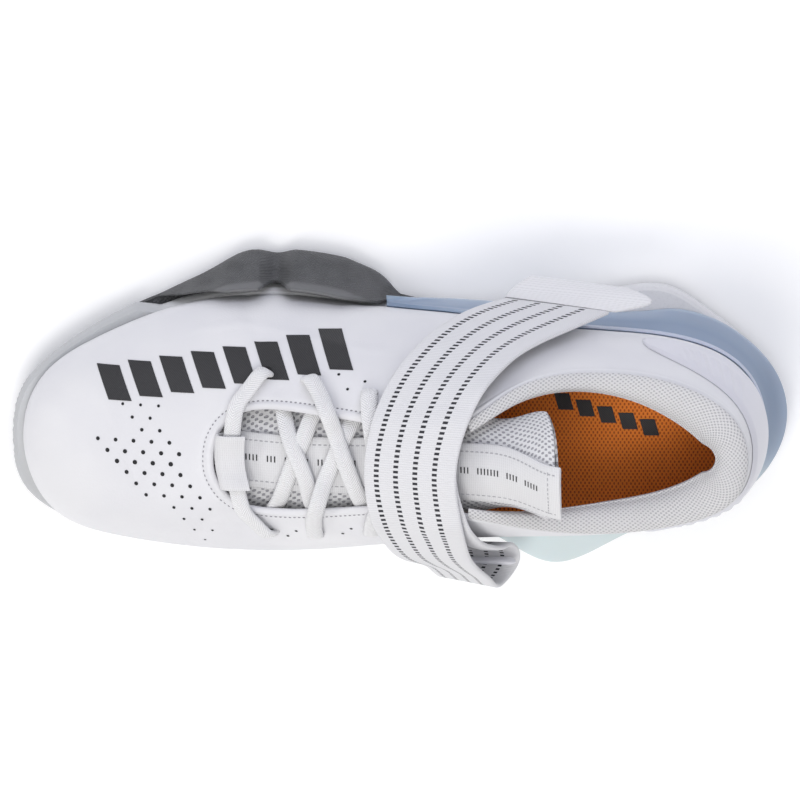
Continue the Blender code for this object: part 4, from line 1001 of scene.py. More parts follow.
def grid_piece(
    name, points, finish, wrap_u=False, wrap_v=False, caps=False, ladder=(), second=np.inf, unrolled=None
):
    """A piece from a grid of points, its lengths unrolled as UV millimetres.

    Caps close the ends of a tube. Ladder holds pairs of columns whose first and last rows are joined straight
    across. From the row second on, the faces have the second finish.
    """
    closed = points
    if wrap_u:
        closed = np.concatenate([closed, closed[:1]], axis=0)
    if wrap_v:
        closed = np.concatenate([closed, closed[:, :1]], axis=1)
    if unrolled is None:
        across = lengths(closed, 1)
        third = closed.shape[1] // 3
        along = lengths(closed[:, third : third + 1], 0)
        unrolled = np.stack([np.broadcast_to(along, across.shape), across], axis=-1)
    columns, rows = points.shape[:2]
    faces, corners, shades = [], [], []
    for i, j in np.ndindex(closed.shape[0] - 1, closed.shape[1] - 1):
        ring = ((i, j), (i + 1, j), (i + 1, j + 1), (i, j + 1))
        faces.append(tuple(a % columns * rows + b % rows for a, b in ring))
        corners += [unrolled[place] for place in ring]
        shades.append(int(j >= second))
    extra = []
    if caps:
        extra = [tuple(reversed(range(rows))), tuple((columns - 1) * rows + j for j in range(rows))]
    for row in (0, rows - 1):
        for (a, b), (c, d) in zip(ladder[:-1], ladder[1:]):
            face = tuple(dict.fromkeys(k * rows + row for k in (a, c, d, b)))
            if len(face) > 2:
                extra.append(face[::-1] if row == 0 else face)
    flat = points.reshape(-1, 3)
    corners += [flat[k, :2] for face in extra for k in face]
    return make_piece(name, flat, faces + extra, finish, corners, shades + [0] * len(extra))


def linked(name, data):
    """A new object in the scene."""
    made = bpy.data.objects.new(name, data)
    bpy.context.scene.collection.objects.link(made)
    return made


def link_mesh(name, points, faces, finish):
    """One object from points in millimetres, fixed to the root body."""
    mesh = bpy.data.meshes.new(name)
    mesh.from_pydata([tuple(p) for p in place(points)], [], faces)
    for one in finish if isinstance(finish, list) else [finish]:
        mesh.materials.append(one)
    piece = linked(name, mesh)
    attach(piece, "root")
    return piece


def make_piece(name, points, faces, finish, corners=None, shades=None):
    """A smooth piece whose faces are turned outward, with its unrolled lengths if they are given."""
    piece = link_mesh(name, points, faces, finish)
    mesh = piece.data
    if corners is not None:
        mesh.uv_layers.new(name="unrolled").data.foreach_set("uv", np.array(corners, float).ravel())
        mesh.polygons.foreach_set("material_index", shades)
    turn = bmesh.new()
    turn.from_mesh(mesh)
    bmesh.ops.recalc_face_normals(turn, faces=turn.faces)
    turn.to_mesh(mesh)
    turn.free()
    mesh.shade_smooth()
    mesh.set_sharp_from_angle(angle=np.radians(SHARP_ANGLE))
    return piece


def polygons(rings):
    """The points and faces of separate flat marks, one for each ring of points."""
    starts = np.cumsum([0] + [len(ring) for ring in rings])
    return np.concatenate(rings), [tuple(range(a, b)) for a, b in zip(starts[:-1], starts[1:])]


def stands_for(piece, slot, *nodes):
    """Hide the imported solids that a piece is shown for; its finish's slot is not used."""
    if nodes:
        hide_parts(*nodes)


def sheet_grid(top, base, bend=3):
    """A closed sheet's ring of points from its two faces, the rim between them rounded."""
    turn = np.linspace(0, np.pi, bend + 2)[1:-1]
    half = np.linalg.norm(top - base, axis=-1, keepdims=True) / 2
    rims = []
    for row, inner in ((-1, -2), (0, 1)):
        middle = (top[:, row] + base[:, row]) / 2
        up = unit(top[:, row] - base[:, row])
        out = unit(top[:, row] - top[:, inner])
        steps = [middle + half[:, row] * (up * np.cos(t) + out * np.sin(t)) for t in turn]
        rims.append(np.stack(steps if row == -1 else steps[::-1], axis=1))
    return np.concatenate([top, rims[0], base[:, ::-1], rims[1]], axis=1)


def sheet_piece(name, top, base, finish, width=None):
    """A closed sheet between two faces, with rounded long edges.

    With a width, its UV across is the same share of it on both faces, so that what is woven in shows through.
    """
    ring = sheet_grid(top, base)
    unrolled = None
    if width is not None:
        rows = top.shape[1]
        share = np.linspace(0, 1, rows)
        edge = (ring.shape[1] - 2 * rows) // 2
        past = np.full(edge, 0.02)
        across = np.concatenate([share, 1 + past, share[::-1], -past, [0.0]]) * width
        along = lengths(ring[:, rows // 2 : rows // 2 + 1], 0)
        unrolled = np.stack(np.broadcast_arrays(along, across[None, :]), axis=-1)
    return grid_piece(name, ring, finish, wrap_v=True, caps=True, unrolled=unrolled)


FINE_COLUMNS = 360
OUTER_ROWS = 84
INNER_ROWS = 36
RIM = UPPER_WALL / 2
RIM_SETTLE = 10
ROLL_WIDTH = 2.6
ROLL_HEIGHT = 0.45
DITCH_DEPTH = 0.22
DITCH_WIDTH = 0.8
DITCH_PLACE = ROLL_WIDTH + 1.0

# Soft creases and pressed lines on the upper: plan points, half width, and height over the cloth
CREASES = (
    (((208, -47), (203, -38), (198, -28), (195, -20)), 2.6, -0.45),
    (((221, -42), (217, -33), (210, -24)), 2.2, -0.30),
    (((213, 46), (208, 38), (203, 31)), 2.6, -0.45),
    (((226, 41), (222, 33), (215, 25)), 2.2, -0.30),
    (((228, -39), (208, -42), (188, -39), (168, -35), (147, -34)), 1.3, 0.40),
    (((262, -14), (259, -9), (256, 0), (253, 8), (250, 18)), 1.2, 0.30),
)


def near_line(plan, line, width):
    """1 on a line in plan, fading smoothly to 0 away from it."""
    line = np.asarray(line, float)
    far = np.full(plan.shape[:-1], np.inf)
    for a, b in zip(line[:-1], line[1:]):
        step = b - a
        share = np.clip(((plan - a) @ step) / (step @ step), 0, 1)
        far = np.minimum(far, np.linalg.norm(plan - a - share[..., None] * step, axis=-1))
    return np.exp(-((far / width) ** 2))


def upper_relief(u, v):
    """How far the cloth stands out: a rolled edge round the throat and collar, creases and pressed lines."""
    outer = upper_outer(u, v)
    rim = upper_outer(u, np.ones_like(v))
    reach = np.linalg.norm(outer - rim, axis=-1)
    relief = ROLL_HEIGHT * np.exp(-(((reach - ROLL_WIDTH / 2) / (ROLL_WIDTH / 2)) ** 4))
    relief -= DITCH_DEPTH * np.exp(-(((reach - DITCH_PLACE) / DITCH_WIDTH) ** 2))
    for line, width, height in CREASES:
        relief = relief + height * near_line(outer[..., :2], line, width)
    return relief


def upper_shell(finish):
    """The upper's two faces, each lowered by the rim's radius at its top, and the round rim between them."""
    u = np.arange(FINE_COLUMNS)[:, None] / FINE_COLUMNS
    outer_u, outer_v = np.broadcast_arrays(u, 1 - (1 - np.linspace(0, 1, OUTER_ROWS)[None]) ** 1.5)
    outer = upper_point(outer_u, outer_v, -upper_relief(outer_u, outer_v), -RIM * outer_v**RIM_SETTLE)
    turn = np.linspace(0, np.pi, 9)[None, 1:-1]
    rim_u, rim_v = np.broadcast_arrays(u, np.ones_like(turn))
    rim = upper_point(rim_u, rim_v, RIM * (1 - np.cos(turn)), RIM * (np.sin(turn) - 1))
    inner_u, inner_v = np.broadcast_arrays(u, np.linspace(1, 0, INNER_ROWS)[None])
    inner = upper_point(inner_u, inner_v, UPPER_WALL, -RIM * inner_v**RIM_SETTLE)
    inner[:, -1, 2] = outer[:, 0, 2]
    ring = np.concatenate([outer, rim, inner], axis=1)
    second = outer.shape[1] + rim.shape[1]
    shell = grid_piece("upper_shell", ring, finish, wrap_u=True, wrap_v=True, second=second)
    stands_for(shell, "synthetic", "upper")


def over_relief(u, v, lift):
    """Points a lift over the dressed upper, and the outward direction at each."""
    return upper_point(u, v, -upper_relief(u, v) - lift), upper_directions(u, v)[0]


def upper_places(plans):
    """Where on the upper's outer face the points of the plan lie: places round it, and up the wall."""
    return np.array([upper_place(np.asarray(plan, float)) for plan in plans]).T.copy()


def small_discs(name, plans, radii, lift, finish, sides=12):
    """Many flat round marks on the upper as one mesh."""
    rings = []
    for centre, up, radius in zip(*over_relief(*upper_places(plans), lift), radii):
        side = unit(np.cross(up, (0.0, 1.0, 0.3)))
        other = np.cross(up, side)
        spokes = [side * np.cos(t) + other * np.sin(t) for t in round_angles(sides)]
        rings.append(centre + radius * np.array(spokes))
    link_mesh(name, *polygons(rings), finish)


# Pinholes over the toe: a slanted lattice in plan, millimetres, with the first and last hole of each row
HOLE_ORIGIN = (257.0, 10.2)
HOLE_PITCH = (7.0, 4.0)
HOLE_SLANT = 3.7
HOLE_ROWS = {
    -5: (3, 5), -4: (3, 4), -3: (3, 4), -2: (0, 4), -1: (0, 4), 0: (0, 3),
    1: (0, 3), 2: (0, 3), 3: (0, 3), 4: (1, 3), 5: (1, 2), 6: (1, 2), 7: (1, 1),
}
HOLE_BOW = 0.09
HOLE_RADIUS = 0.92
HOLE_SHRINK = 0.065
SIDE_HOLE_RADIUS = 0.6
SIDE_HOLES = (
    (171.1, -26.4), (161.0, -24.5), (167.6, -21.7),
    (188.2, 35.8), (182.0, 37.8), (191.6, 38.6), (170.3, 36.2), (166.9, 33.4), (160.7, 34.6),
)


def pinholes(finish):
    """The toe's holes, smaller away from its middle, and the few beside the throat."""
    plans, radii = [], []
    for j, (first, last) in HOLE_ROWS.items():
        for i in range(first, last + 1):
            x = HOLE_ORIGIN[0] - HOLE_PITCH[0] * i - HOLE_SLANT * j
            y = HOLE_ORIGIN[1] + HOLE_PITCH[1] * j + HOLE_BOW * j * abs(j)
            plans.append((x, y))
            radii.append(HOLE_RADIUS - HOLE_SHRINK * abs(j))
    plans += SIDE_HOLES
    radii += [SIDE_HOLE_RADIUS] * len(SIDE_HOLES)
    small_discs("pinholes", plans, radii, 0.12, finish)


# A stitch's cross-sections, at shares of its length with their size, and the corners of each in half widths
STITCH_SECTIONS = ((-0.5, 0.35), (-0.28, 1.0), (0.28, 1.0), (0.5, 0.35))
STITCH_CORNERS = ((-1, 0), (-0.6, 0.55), (0.6, 0.55), (1, 0))


def stitch_line(name, centres, ups, pitch, length, width, finish):
    """Short rounded stitches along a line, as one mesh."""
    reach = lengths(centres, 0)
    points, faces = [], []
    for mark in np.arange(pitch / 2, reach[-1], pitch):
        places = mark + length * np.array([place for place, _ in STITCH_SECTIONS])
        middles = interpolate(places, reach, centres)
        along = unit(middles[-1] - middles[0])
        start = len(points)
        for middle, up, (_, size) in zip(middles, unit(interpolate(places, reach, ups)), STITCH_SECTIONS):
            side = unit(np.cross(up, along))
            points += [middle + (side * a + up * b) * size * width / 2 for a, b in STITCH_CORNERS]
        for row, k in np.ndindex(3, 3):
            a = start + row * 4 + k
            faces.append((a, a + 1, a + 5, a + 4))
        faces.append(tuple(range(start, start + 4)))
        faces.append(tuple(range(start + 15, start + 11, -1)))
    make_piece(name, np.array(points), faces, finish)


THROAT_BACK = 0.43


def throat_line(reach, lift):
    """Points and directions along the throat's edge, a reach down from it in millimetres."""
    medial, lateral = places_at(np.array([THROAT_BACK * LENGTH]), 2)
    u = np.linspace(medial[0], lateral[0], 400)
    v = np.full_like(u, 0.985)
    for _ in range(4):
        here = np.linalg.norm(upper_outer(u, v) - upper_outer(u, np.ones_like(v)), axis=-1)
        v = 1 - (1 - v) * reach / np.maximum(here, 1e-6)
    return over_relief(u, v, lift)


# The print on the lateral forefoot: even slanted blocks. Plan millimetres of the first block's middle, the
# step to the next, and a block's length, height and slant.
PRINT_START = (258.0, -19.5)
PRINT_STEP = (-12.2, -2.1)
PRINT_COUNT = 8
PRINT_BLOCK = (9.0, 12.5, 5.0)
PRINT_LIFT = 0.22
PRINT_ROOT = 0.10


def print_blocks(finish):
    """A row of plain slanted blocks, a thin layer on the upper."""
    points, faces = [], []
    across, along = np.meshgrid(np.linspace(-0.5, 0.5, 13), np.linspace(-0.5, 0.5, 8))
    rows, columns = across.shape
    count = rows * columns
    sheet = [(k, k + columns, k + columns + 1, k + 1) for k in range(count - columns) if (k + 1) % columns]
    ring = [*range(columns), *range(2 * columns - 1, count, columns)]
    ring += [*range(count - 2, count - columns - 1, -1), *range(count - 2 * columns, 0, -columns)]
    for number in range(PRINT_COUNT):
        middle = np.array(PRINT_START) + np.array(PRINT_STEP) * number
        x = middle[0] + along * PRINT_BLOCK[0] - across * PRINT_BLOCK[2]
        y = middle[1] + across * PRINT_BLOCK[1]
        places = upper_places(np.stack([x.ravel(), y.ravel()], axis=1))
        start = len(points)
        points += [*over_relief(*places, PRINT_LIFT)[0], *over_relief(*places, -PRINT_ROOT)[0]]
        faces += [tuple(start + k for k in face) for face in sheet]
        faces += [tuple(start + count + k for k in reversed(face)) for face in sheet]
        for a, b in zip(ring, ring[1:] + ring[:1]):
            faces.append((start + b, start + a, start + count + a, start + count + b))
    make_piece("side_print", np.array(points), faces, finish)


def ring_pairs(count):
    """The pairs of columns with the same place along a closed sole, heel to toe."""
    return [(k, (count - k) % count) for k in range(count // 2 + 1)]


def fine_stations(count, extra):
    """Stations along the sole, close at its round ends, with extra ones in place of any within 0.5 mm."""
    low, high = FOOTPRINT[:, 0].min(), FOOTPRINT[:, 0].max()
    even = low + (high - low) * (1 - np.cos(np.linspace(0, np.pi, count))) / 2
    kept = [k for k in even if np.abs(extra - k).min() > 0.5 or k in (low, high)]
    return np.sort(np.concatenate([kept, extra]))


# The fine rib of the foam round the lateral toe: its start in plan, the lengths over which it fades in, its
# pitch and its depth
FOAM_RIB_START = (252.0, 20.0)
FOAM_RIB_FADE = (8.0, -8.0)
FOAM_RIB_PITCH = 2.1
FOAM_RIB_DEPTH = 0.55
# Shares of the foam's height, how far it is drawn in at each, and how far its side is crowned
FOAM_EDGES = ((0, 0.15, 0.55, 0.85, 1.0), (1.0, 0.15, 0.0, 0.7, 2.0))
FOAM_CROWN = 0.25
WRAP_ROOM = 2.6

# Cuts in the rubber's underside, from their middle: place along the shoe and depth
HALF_GROOVE = LUG_GROOVE / 2
GROOVE_SLOPE = 0.5
GROOVE = (
    (-HALF_GROOVE, 0.0),
    (GROOVE_SLOPE - HALF_GROOVE, LUG_DEPTH),
    (HALF_GROOVE - GROOVE_SLOPE, LUG_DEPTH),
    (HALF_GROOVE, 0.0),
)
SLIT = ((-0.7, 0.0), (0.0, 0.9), (0.7, 0.0))
# How far the wrap's rounded top edge stands up
CREST_HEIGHT = 0.5


def midsole_piece(finish):
    """The foam, its side softly crowned, with a fine rib round the lateral toe."""
    ramp = np.linspace(WEDGE_START, WEDGE_END, 9) * LENGTH
    rows, out = round_the_sole(fine_stations(230, ramp))
    inset = rows[:, 2] + (WRAP_WALL + WRAP_ROOM) * wrap_shares(rows)[2]
    reach = lengths(rows[:, :2], 0)
    rib_zone = np.clip((rows[:, :2] - FOAM_RIB_START) / FOAM_RIB_FADE, 0, 1).prod(axis=1)
    rib = FOAM_RIB_DEPTH * rib_zone * np.mod(reach / FOAM_RIB_PITCH, 1.0)

    def side_height(share):
        return lambda x: (1 - share) * (ground(x) + OUTSOLE_THICKNESS + SEAT_GAP) + share * midsole_top(x)

    shares = np.concatenate([np.linspace(0, 0.55, 8), np.linspace(0.62, 1.0, 12)])
    profile = []
    for share in shares:
        drawn = np.interp(share, *FOAM_EDGES)
        soft = FOAM_CROWN * np.sin(np.pi * np.clip((share - 0.15) / 0.7, 0, 1))
        profile.append((inset + drawn - soft + rib * np.sin(np.pi * share), side_height(share)))
    columns = side_columns(rows, out, profile)
    piece = grid_piece("midsole_foam", columns, finish, wrap_u=True, ladder=ring_pairs(len(columns)))
    stands_for(piece, "foam", "midsole")


def outsole_piece(finish):
    """The rubber sheet with its lug bars, a fine groove in each bar, and the wrap at the lateral forefoot."""
    first = HEEL_BEVEL_END * LENGTH + LUG_PITCH / 2
    centres = np.arange(first, LENGTH * 0.97, LUG_PITCH)
    cuts = {round(middle + x, 6): depth for middle in centres for x, depth in GROOVE}
    cuts |= {round(middle + x, 6): depth for middle in centres[:-1] + LUG_PITCH / 2 for x, depth in SLIT}
    rows, out = round_the_sole(fine_stations(260, np.array(sorted(cuts))))
    cut = np.array([cuts.get(round(k, 6), 0.0) for k in rows[:, 0]])
    tall, flare, _ = wrap_shares(rows)
    edge = OUTSOLE_INSET * (1 - flare) + rows[:, 2]
    bulge = edge - WRAP_FLARE * flare
    inner = edge + 1.0 + WRAP_WALL * flare

    def wrap_height(share, lip):
        sheet = OUTSOLE_THICKNESS - lip
        return lambda x: ground(x) + sheet + (WRAP_HEIGHT - ground(x) - sheet) * tall * share

    guide = side_columns(
        rows,
        out,
        (
            (edge + 0.8 - 1.8 * flare, lambda x: ground(x) + cut),
            (bulge + 1.4 * flare, lambda x: ground(x) + LUG_DEPTH + 0.3),
            (bulge, wrap_height(0.18, 1.0)),
            (edge + 0.2 * flare, wrap_height(0.75, 0.5)),
            (edge + 0.3 + 1.9 * flare, wrap_height(1.0, 0.0)),
            (inner + 0.4 * flare, wrap_height(1.0, 0.0)),
            (inner + 0.6, wrap_height(0.0, 0.0)),
        ),
    )
    turn = np.linspace(0, np.pi, 7)[1:-1, None]
    columns = []
    for column in guide:
        middle, half_top = (column[4] + column[5]) / 2, (column[4] - column[5]) / 2
        crest = middle + half_top * np.cos(turn) + np.array([0, 0, CREST_HEIGHT]) * np.sin(turn)
        columns.append(np.concatenate([column[:1], through(column[1:5], 15), crest, column[5:]]))
    columns = np.array(columns)
    piece = grid_piece("outsole_rubber", columns, finish, wrap_u=True, ladder=ring_pairs(len(columns)))
    stands_for(piece, "rubber", "outsole")


# The wedge's foot follows the footprint's nearest point at the heel, and the one beside it further forward.
# Its rounded lower edge is pairs: millimetres inward, and the share of the lip's height.
BESIDE_START = 45.0
BESIDE_FADE = 40.0
WEDGE_TOE = ((0.8, 0.0), (0.1, 0.2), (0.0, 0.55))
# How far its side draws in: from the flare to the upper at the waist, from the flare to the waist at the neck
WEDGE_WAIST = 0.88
WEDGE_NECK = 0.45


def wedge_piece(finish):
    """The heel wedge: flared foot, concave side, and the cup's rounded rim."""
    medial, lateral = places_at(foot_stations(PLATE_FRONT, 90), 0)
    u = np.concatenate([lateral[:0:-1] - 1, medial])
    foot = upper_outer(u, 0.0)
    fade = smooth_step((PLATE_FRONT * LENGTH - foot[:, 0]) / (0.20 * LENGTH))
    columns = []
    for where, start, fades in zip(u, foot, fade):
        beside = np.append(start[0], footprint_side(start[0], 1 if where >= 0 else -1))
        share = smooth_step((start[0] - BESIDE_START) / BESIDE_FADE)
        near = nearest_footprint(start[:2]) * (1 - share) + beside * share
        inward = unit(start[:2] - near[:2])
        flare = near[:2] + inward * (near[3] + PLATE_TUCK * (1 - fades))
        bed = footbed(start[0])
        base = midsole_top(flare[0]) + SEAT_GAP
        room = bed - base
        lip = min(PLATE_LIP, 0.35 * room)
        share = (CUP_HEIGHT * fades + 0.5) / (COLLAR_HEIGHT - HEEL_STACK)
        heights = np.array([0.0, 0.45, 1.0]) * share * 0.78
        inner = upper_point(where, heights, -SEAT_GAP)
        outer = upper_point(where, heights, -SEAT_GAP - np.array([CUP_WALL, CUP_WALL, 0.7]))
        waist = (1 - WEDGE_WAIST) * flare + WEDGE_WAIST * outer[0, :2]
        neck = (1 - WEDGE_NECK) * flare + WEDGE_NECK * waist
        side = np.array(
            [
                (*flare, base + lip),
                (*neck, base + lip + 0.16 * (room - lip)),
                (*waist, base + lip + 0.55 * (room - lip)),
                (*outer[0, :2], bed + 0.3),
                outer[1],
                outer[2],
            ]
        )
        toe = [(*(flare + inward * step), base + rise * lip) for step, rise in WEDGE_TOE]
        top = (outer[2] + inner[2]) / 2 + (0, 0, 0.35)
        back = [top, inner[2], inner[1], (*inner[0, :2], bed)]
        columns.append(np.concatenate([toe, through(side, 26), back]))
    columns = np.array(columns)
    middle = len(columns) // 2
    pairs = [(middle + k, middle - k) for k in range(middle + 1)]
    piece = grid_piece("heel_wedge", columns, finish, ladder=pairs)
    stands_for(piece, "plate", "heel_plate")


FILM_FRONT = 0.205
FILM_RIB_HEIGHT = 0.55
FILM_RIB_PITCH = 2.2
COLLAR_FRONT = 0.404
COLLAR_LOWERED = 0.45


def heel_film_piece(finish):
    """The film round the heel, with slanted raised ribs on each side."""
    u = band_places(FILM_FRONT, 161)
    end = np.sin(np.pi * np.linspace(0, 1, len(u))) ** 0.45
    low = 0.30 + 0.10 * (1 - end)
    high = 0.40 + 0.42 * end
    share = np.linspace(0, 1, 40)
    grid_v = low[:, None] + (high - low)[:, None] * share
    round_off = np.minimum(1, np.minimum(share, 1 - share)[None, :] * 9) * np.minimum(1, end[:, None] * 2.4)
    where = np.linspace(-1, 1, len(u))[:, None]
    slant = np.abs(where) * 26 + share[None, :] * 4.0
    zone = smooth_step((np.abs(where) - 0.28) / 0.1) * smooth_step((0.80 - np.abs(where)) / 0.1)
    zone = zone * smooth_step((share - 0.30) / 0.12)[None] * smooth_step((0.92 - share) / 0.12)[None]
    rib = FILM_RIB_HEIGHT * zone * np.clip(np.sin(2 * np.pi * slant / FILM_RIB_PITCH) * 1.6, 0, 1)
    outer = upper_point(u[:, None], grid_v, -SEAT_GAP - COUNTER_WALL * round_off - rib)
    inner = upper_point(u[:, None], grid_v, -SEAT_GAP * 0.6)
    ring = np.concatenate([outer, inner[:, ::-1]], axis=1)
    piece = grid_piece("heel_film", ring, finish, wrap_v=True, caps=True)
    stands_for(piece, "film", "heel_counter")


def collar_piece(finish):
    """The padded collar: crowned mesh that rolls over the upper's edge, with soft dips along it."""
    u = band_places(COLLAR_FRONT, 240)
    rows = np.array(PAD_ROWS)
    shares = np.arange(len(rows)) / len(rows)
    fine = spline(shares, rows, period=1.0)(np.linspace(0, 1, 60, endpoint=False))
    thick = UPPER(u)[:, 8]
    crown = 0.35 * np.sin(np.pi * np.clip((fine[:, 2] - 0.2) / 0.8, 0, 1))
    wander = np.sin(u * 2 * np.pi * 9 + 0.7) * 0.25 + np.sin(u * 2 * np.pi * 17) * 0.15
    depth = fine[:, 1] + thick[:, None] * fine[:, 2] + crown * wander[:, None]
    height = np.minimum(fine[:, 0], 1.0)
    sections = upper_point(u[:, None], height, depth, np.maximum(fine[:, 3] - COLLAR_LOWERED, 0.0))
    piece = grid_piece("collar_padding", sections, finish, wrap_v=True, caps=True)
    stands_for(piece, "mesh", "collar_pad")


# Shares by which the tongue's sides spread under the throat, and where along it they do
TONGUE_SPREAD_LATERAL = 0.36
TONGUE_SPREAD_MEDIAL = 0.18
TONGUE_SPREAD_END = 0.58
TONGUE_SPREAD_FADE = 0.15


def tongue_piece(finish):
    """The padded mesh tongue, thinner at its edges, which spread under the throat's edges."""
    s, t = np.meshgrid(np.linspace(0.0, 1.0, 150), np.linspace(-1, 1, 49), indexing="ij")
    edge = np.maximum(np.abs(t), smooth_step((s - 0.9) / 0.1))
    depth = TONGUE_THICKNESS * (1 - 0.55 * edge**4) * (1 + TONGUE_FILL * smooth_step((s - 0.45) / 0.3))
    s = s * TONGUE_END * (1 - TONGUE_CORNER * t**6)
    spread = np.where(t < 0, TONGUE_SPREAD_LATERAL, TONGUE_SPREAD_MEDIAL)
    t = t * (1 + spread * smooth_step((TONGUE_SPREAD_END - s) / TONGUE_SPREAD_FADE))
    top = tongue_point(s, t, 0.35 * edge**8)
    piece = sheet_piece("tongue_body", top, tongue_point(s, t, depth), finish)
    stands_for(piece, "mesh", "tongue")


def insole_piece(finish):
    """The sock liner, its rim raised round the heel."""
    medial, lateral = places_at(foot_stations(1.0, 150), 0)
    foot = upper_outer(np.concatenate([medial, lateral[-2:0:-1]]), 0.0)
    out = outward(foot[:, :2])
    bed = footbed(foot[:, 0]) + SEAT_GAP
    back = smooth_step(1.2 - foot[:, 0] / (0.4 * LENGTH))
    top = bed + INSOLE_THICKNESS + INSOLE_RIM * back
    floor = bed + INSOLE_THICKNESS
    profile = [(1.6, bed), (1.2, bed * 0.5 + top * 0.5), (0.9, top - 0.3), (1.3, top), (2.0, top)]
    for share in np.linspace(0.1, 1, 9):
        profile.append((2.0 + share * INSOLE_RIM_WIDTH, top + (floor - top) * smooth_step(share)))
    columns = []
    for inset, height in profile:
        columns.append(np.column_stack([foot[:, :2] - out * (UPPER_WALL + inset), height]))
    columns = np.stack(columns, axis=1)
    unrolled = np.concatenate([columns, columns[:1]])[..., :2]
    pairs = ring_pairs(len(columns))
    piece = grid_piece("insole_cover", columns, finish, wrap_u=True, ladder=pairs, unrolled=unrolled)
    stands_for(piece, "insole", "insole")


def label_piece(finish):
    """One webbing from the throat, over the first bar of the lace, to the pull at the tongue's top."""
    s = np.linspace(0.06, 0.998, 120)[:, None]
    row = TONGUE(s[:, 0])
    share = row[:, 5, None] + np.linspace(-1, 1, 13)[None] * LABEL_WIDTH / 2 / row[:, 3, None]
    low = tongue_point(s, share, -LABEL_GAP)
    high = tongue_point(s, share, -LABEL_GAP - WEBBING)
    front_low, front_high = label_front(low[0])
    top, base = np.concatenate([front_high, high]), np.concatenate([front_low, low])
    piece = sheet_piece("label_webbing", top, base, finish)
    stands_for(piece, "webbing", "tongue_label")


def label_point(s, shift, lift):
    """A point on the label's upper face, a shift in millimetres from its middle."""
    row = TONGUE(s)
    share = row[..., 5] + shift / row[..., 3]
    return tongue_point(s, share, -LABEL_GAP - WEBBING - lift)


# Ticks on the label: marks in each group, their half length and width, the steps from mark to mark and from
# group to group, and how far off the label's middle they stand
TICK_GROUPS = (5, 3, 7, 4)
TICK_HALF = (0.28, 1.2)
TICK_STEP = 1.5
TICK_GAP = 3.0
TICK_SHIFT = -1.3
MARK_LIFT = 0.06
STITCH_LIFT = 0.02


def label_marks(ink, thread):
    """Plain tick marks in groups down the label, and a stitch line inside each edge."""
    s = np.linspace(0.09, 0.985, 400)
    reach = lengths(label_point(s, TICK_SHIFT, MARK_LIFT), 0)
    rings = []
    at, number = 2.0, 0
    while at < reach[-1] - 14:
        for _ in range(TICK_GROUPS[number % len(TICK_GROUPS)]):
            here_s = np.interp(at, reach, s)
            here = label_point(here_s, TICK_SHIFT, MARK_LIFT)
            along = unit(label_point(here_s + 2e-3, TICK_SHIFT, MARK_LIFT) - here) * TICK_HALF[0]
            side = unit(label_point(here_s, TICK_SHIFT + 1.5, MARK_LIFT) - here) * TICK_HALF[1]
            rings.append([here + along * a + side * b for a, b in ((-1, -1), (1, -1), (1, 1), (-1, 1))])
            at += TICK_STEP
        at += TICK_GAP
        number += 1
    make_piece("label_ticks", *polygons(rings), ink)
    across = np.linspace(-8.5, 8.5, 40)
    for name, places, shifts, pitch, length in (
        ("label_stitches_front", 0.105, across, 2.0, 1.3),
        ("label_stitches_pull", 0.965, across, 2.0, 1.3),
        ("label_stitches_lateral", s, -7.6, 2.2, 1.5),
        ("label_stitches_medial", s, 7.6, 2.2, 1.5),
    ):
        line = label_point(places, shifts, STITCH_LIFT)
        up = unit(label_point(places, shifts, 1.0) - line)
        stitch_line(name, line, up, pitch, length, 0.5, thread)


# Blocks printed on the insole: how many, the first one's middle in plan, the step to the next, the corners
INSOLE_BLOCKS = 5
INSOLE_START = (87.0, -10.0)
INSOLE_STEP = (-8.2, 2.4)
INSOLE_CORNERS = ((-2.9, -3.2), (2.9, -3.2), (1.1, 3.2), (-4.7, 3.2))
INSOLE_PRINT_LIFT = 0.35


def insole_marks(ink):
    """A short row of plain dark slanted blocks printed on the insole."""
    rings = []
    for number in range(INSOLE_BLOCKS):
        plan = np.array(INSOLE_START) + np.array(INSOLE_STEP) * number + INSOLE_CORNERS
        height = footbed(plan[:, 0]) + SEAT_GAP + INSOLE_THICKNESS + INSOLE_PRINT_LIFT
        rings.append(np.column_stack([plan, height]))
    make_piece("insole_print", *polygons(rings), ink)


# The label's way round the bar, from its middle: millimetres ahead and up
LABEL_BEND = (
    (1.6, -4.2), (3.6, -3.6), (4.9, -2.2), (5.2, -0.6), (4.6, 1.0),
    (3.0, 2.0), (0.6, 2.35), (-2.2, 2.3), (-5.0, 1.8),
)


def label_front(first):
    """The label's two faces round the lace's first bar, in front of their first row."""
    bar = through(strand_points("bar"), PATH_POINTS)
    bar = bar[np.argsort(bar[:, 1])]
    x, z = interpolate(first[:, 1], bar[:, 1], bar[:, ::2]).T
    lows, highs = [], []
    for k, (ahead, up) in enumerate(LABEL_BEND):
        lean = unit(np.subtract(LABEL_BEND[min(k + 1, len(LABEL_BEND) - 1)], LABEL_BEND[max(k - 1, 0)]))
        lows.append(np.column_stack([x + ahead, first[:, 1], z + up]))
        highs.append(lows[-1] + np.array([lean[1], 0.0, -lean[0]]) * WEBBING)
    return lows, highs


def lace_piece(name, strands, finish, node):
    """Flat woven strands. An end over the upper goes down into its eyelet, the others go under the rim."""
    for strand, label, nodes in zip(strands, (name, f"{name}_over"), ((node,), ())):
        sections = lace_sections(lace_route(strand), corners=20, flatness=0.75, fullness=0.85)
        stands_for(grid_piece(label, sections, finish, wrap_v=True, caps=True), "webbing", *nodes)


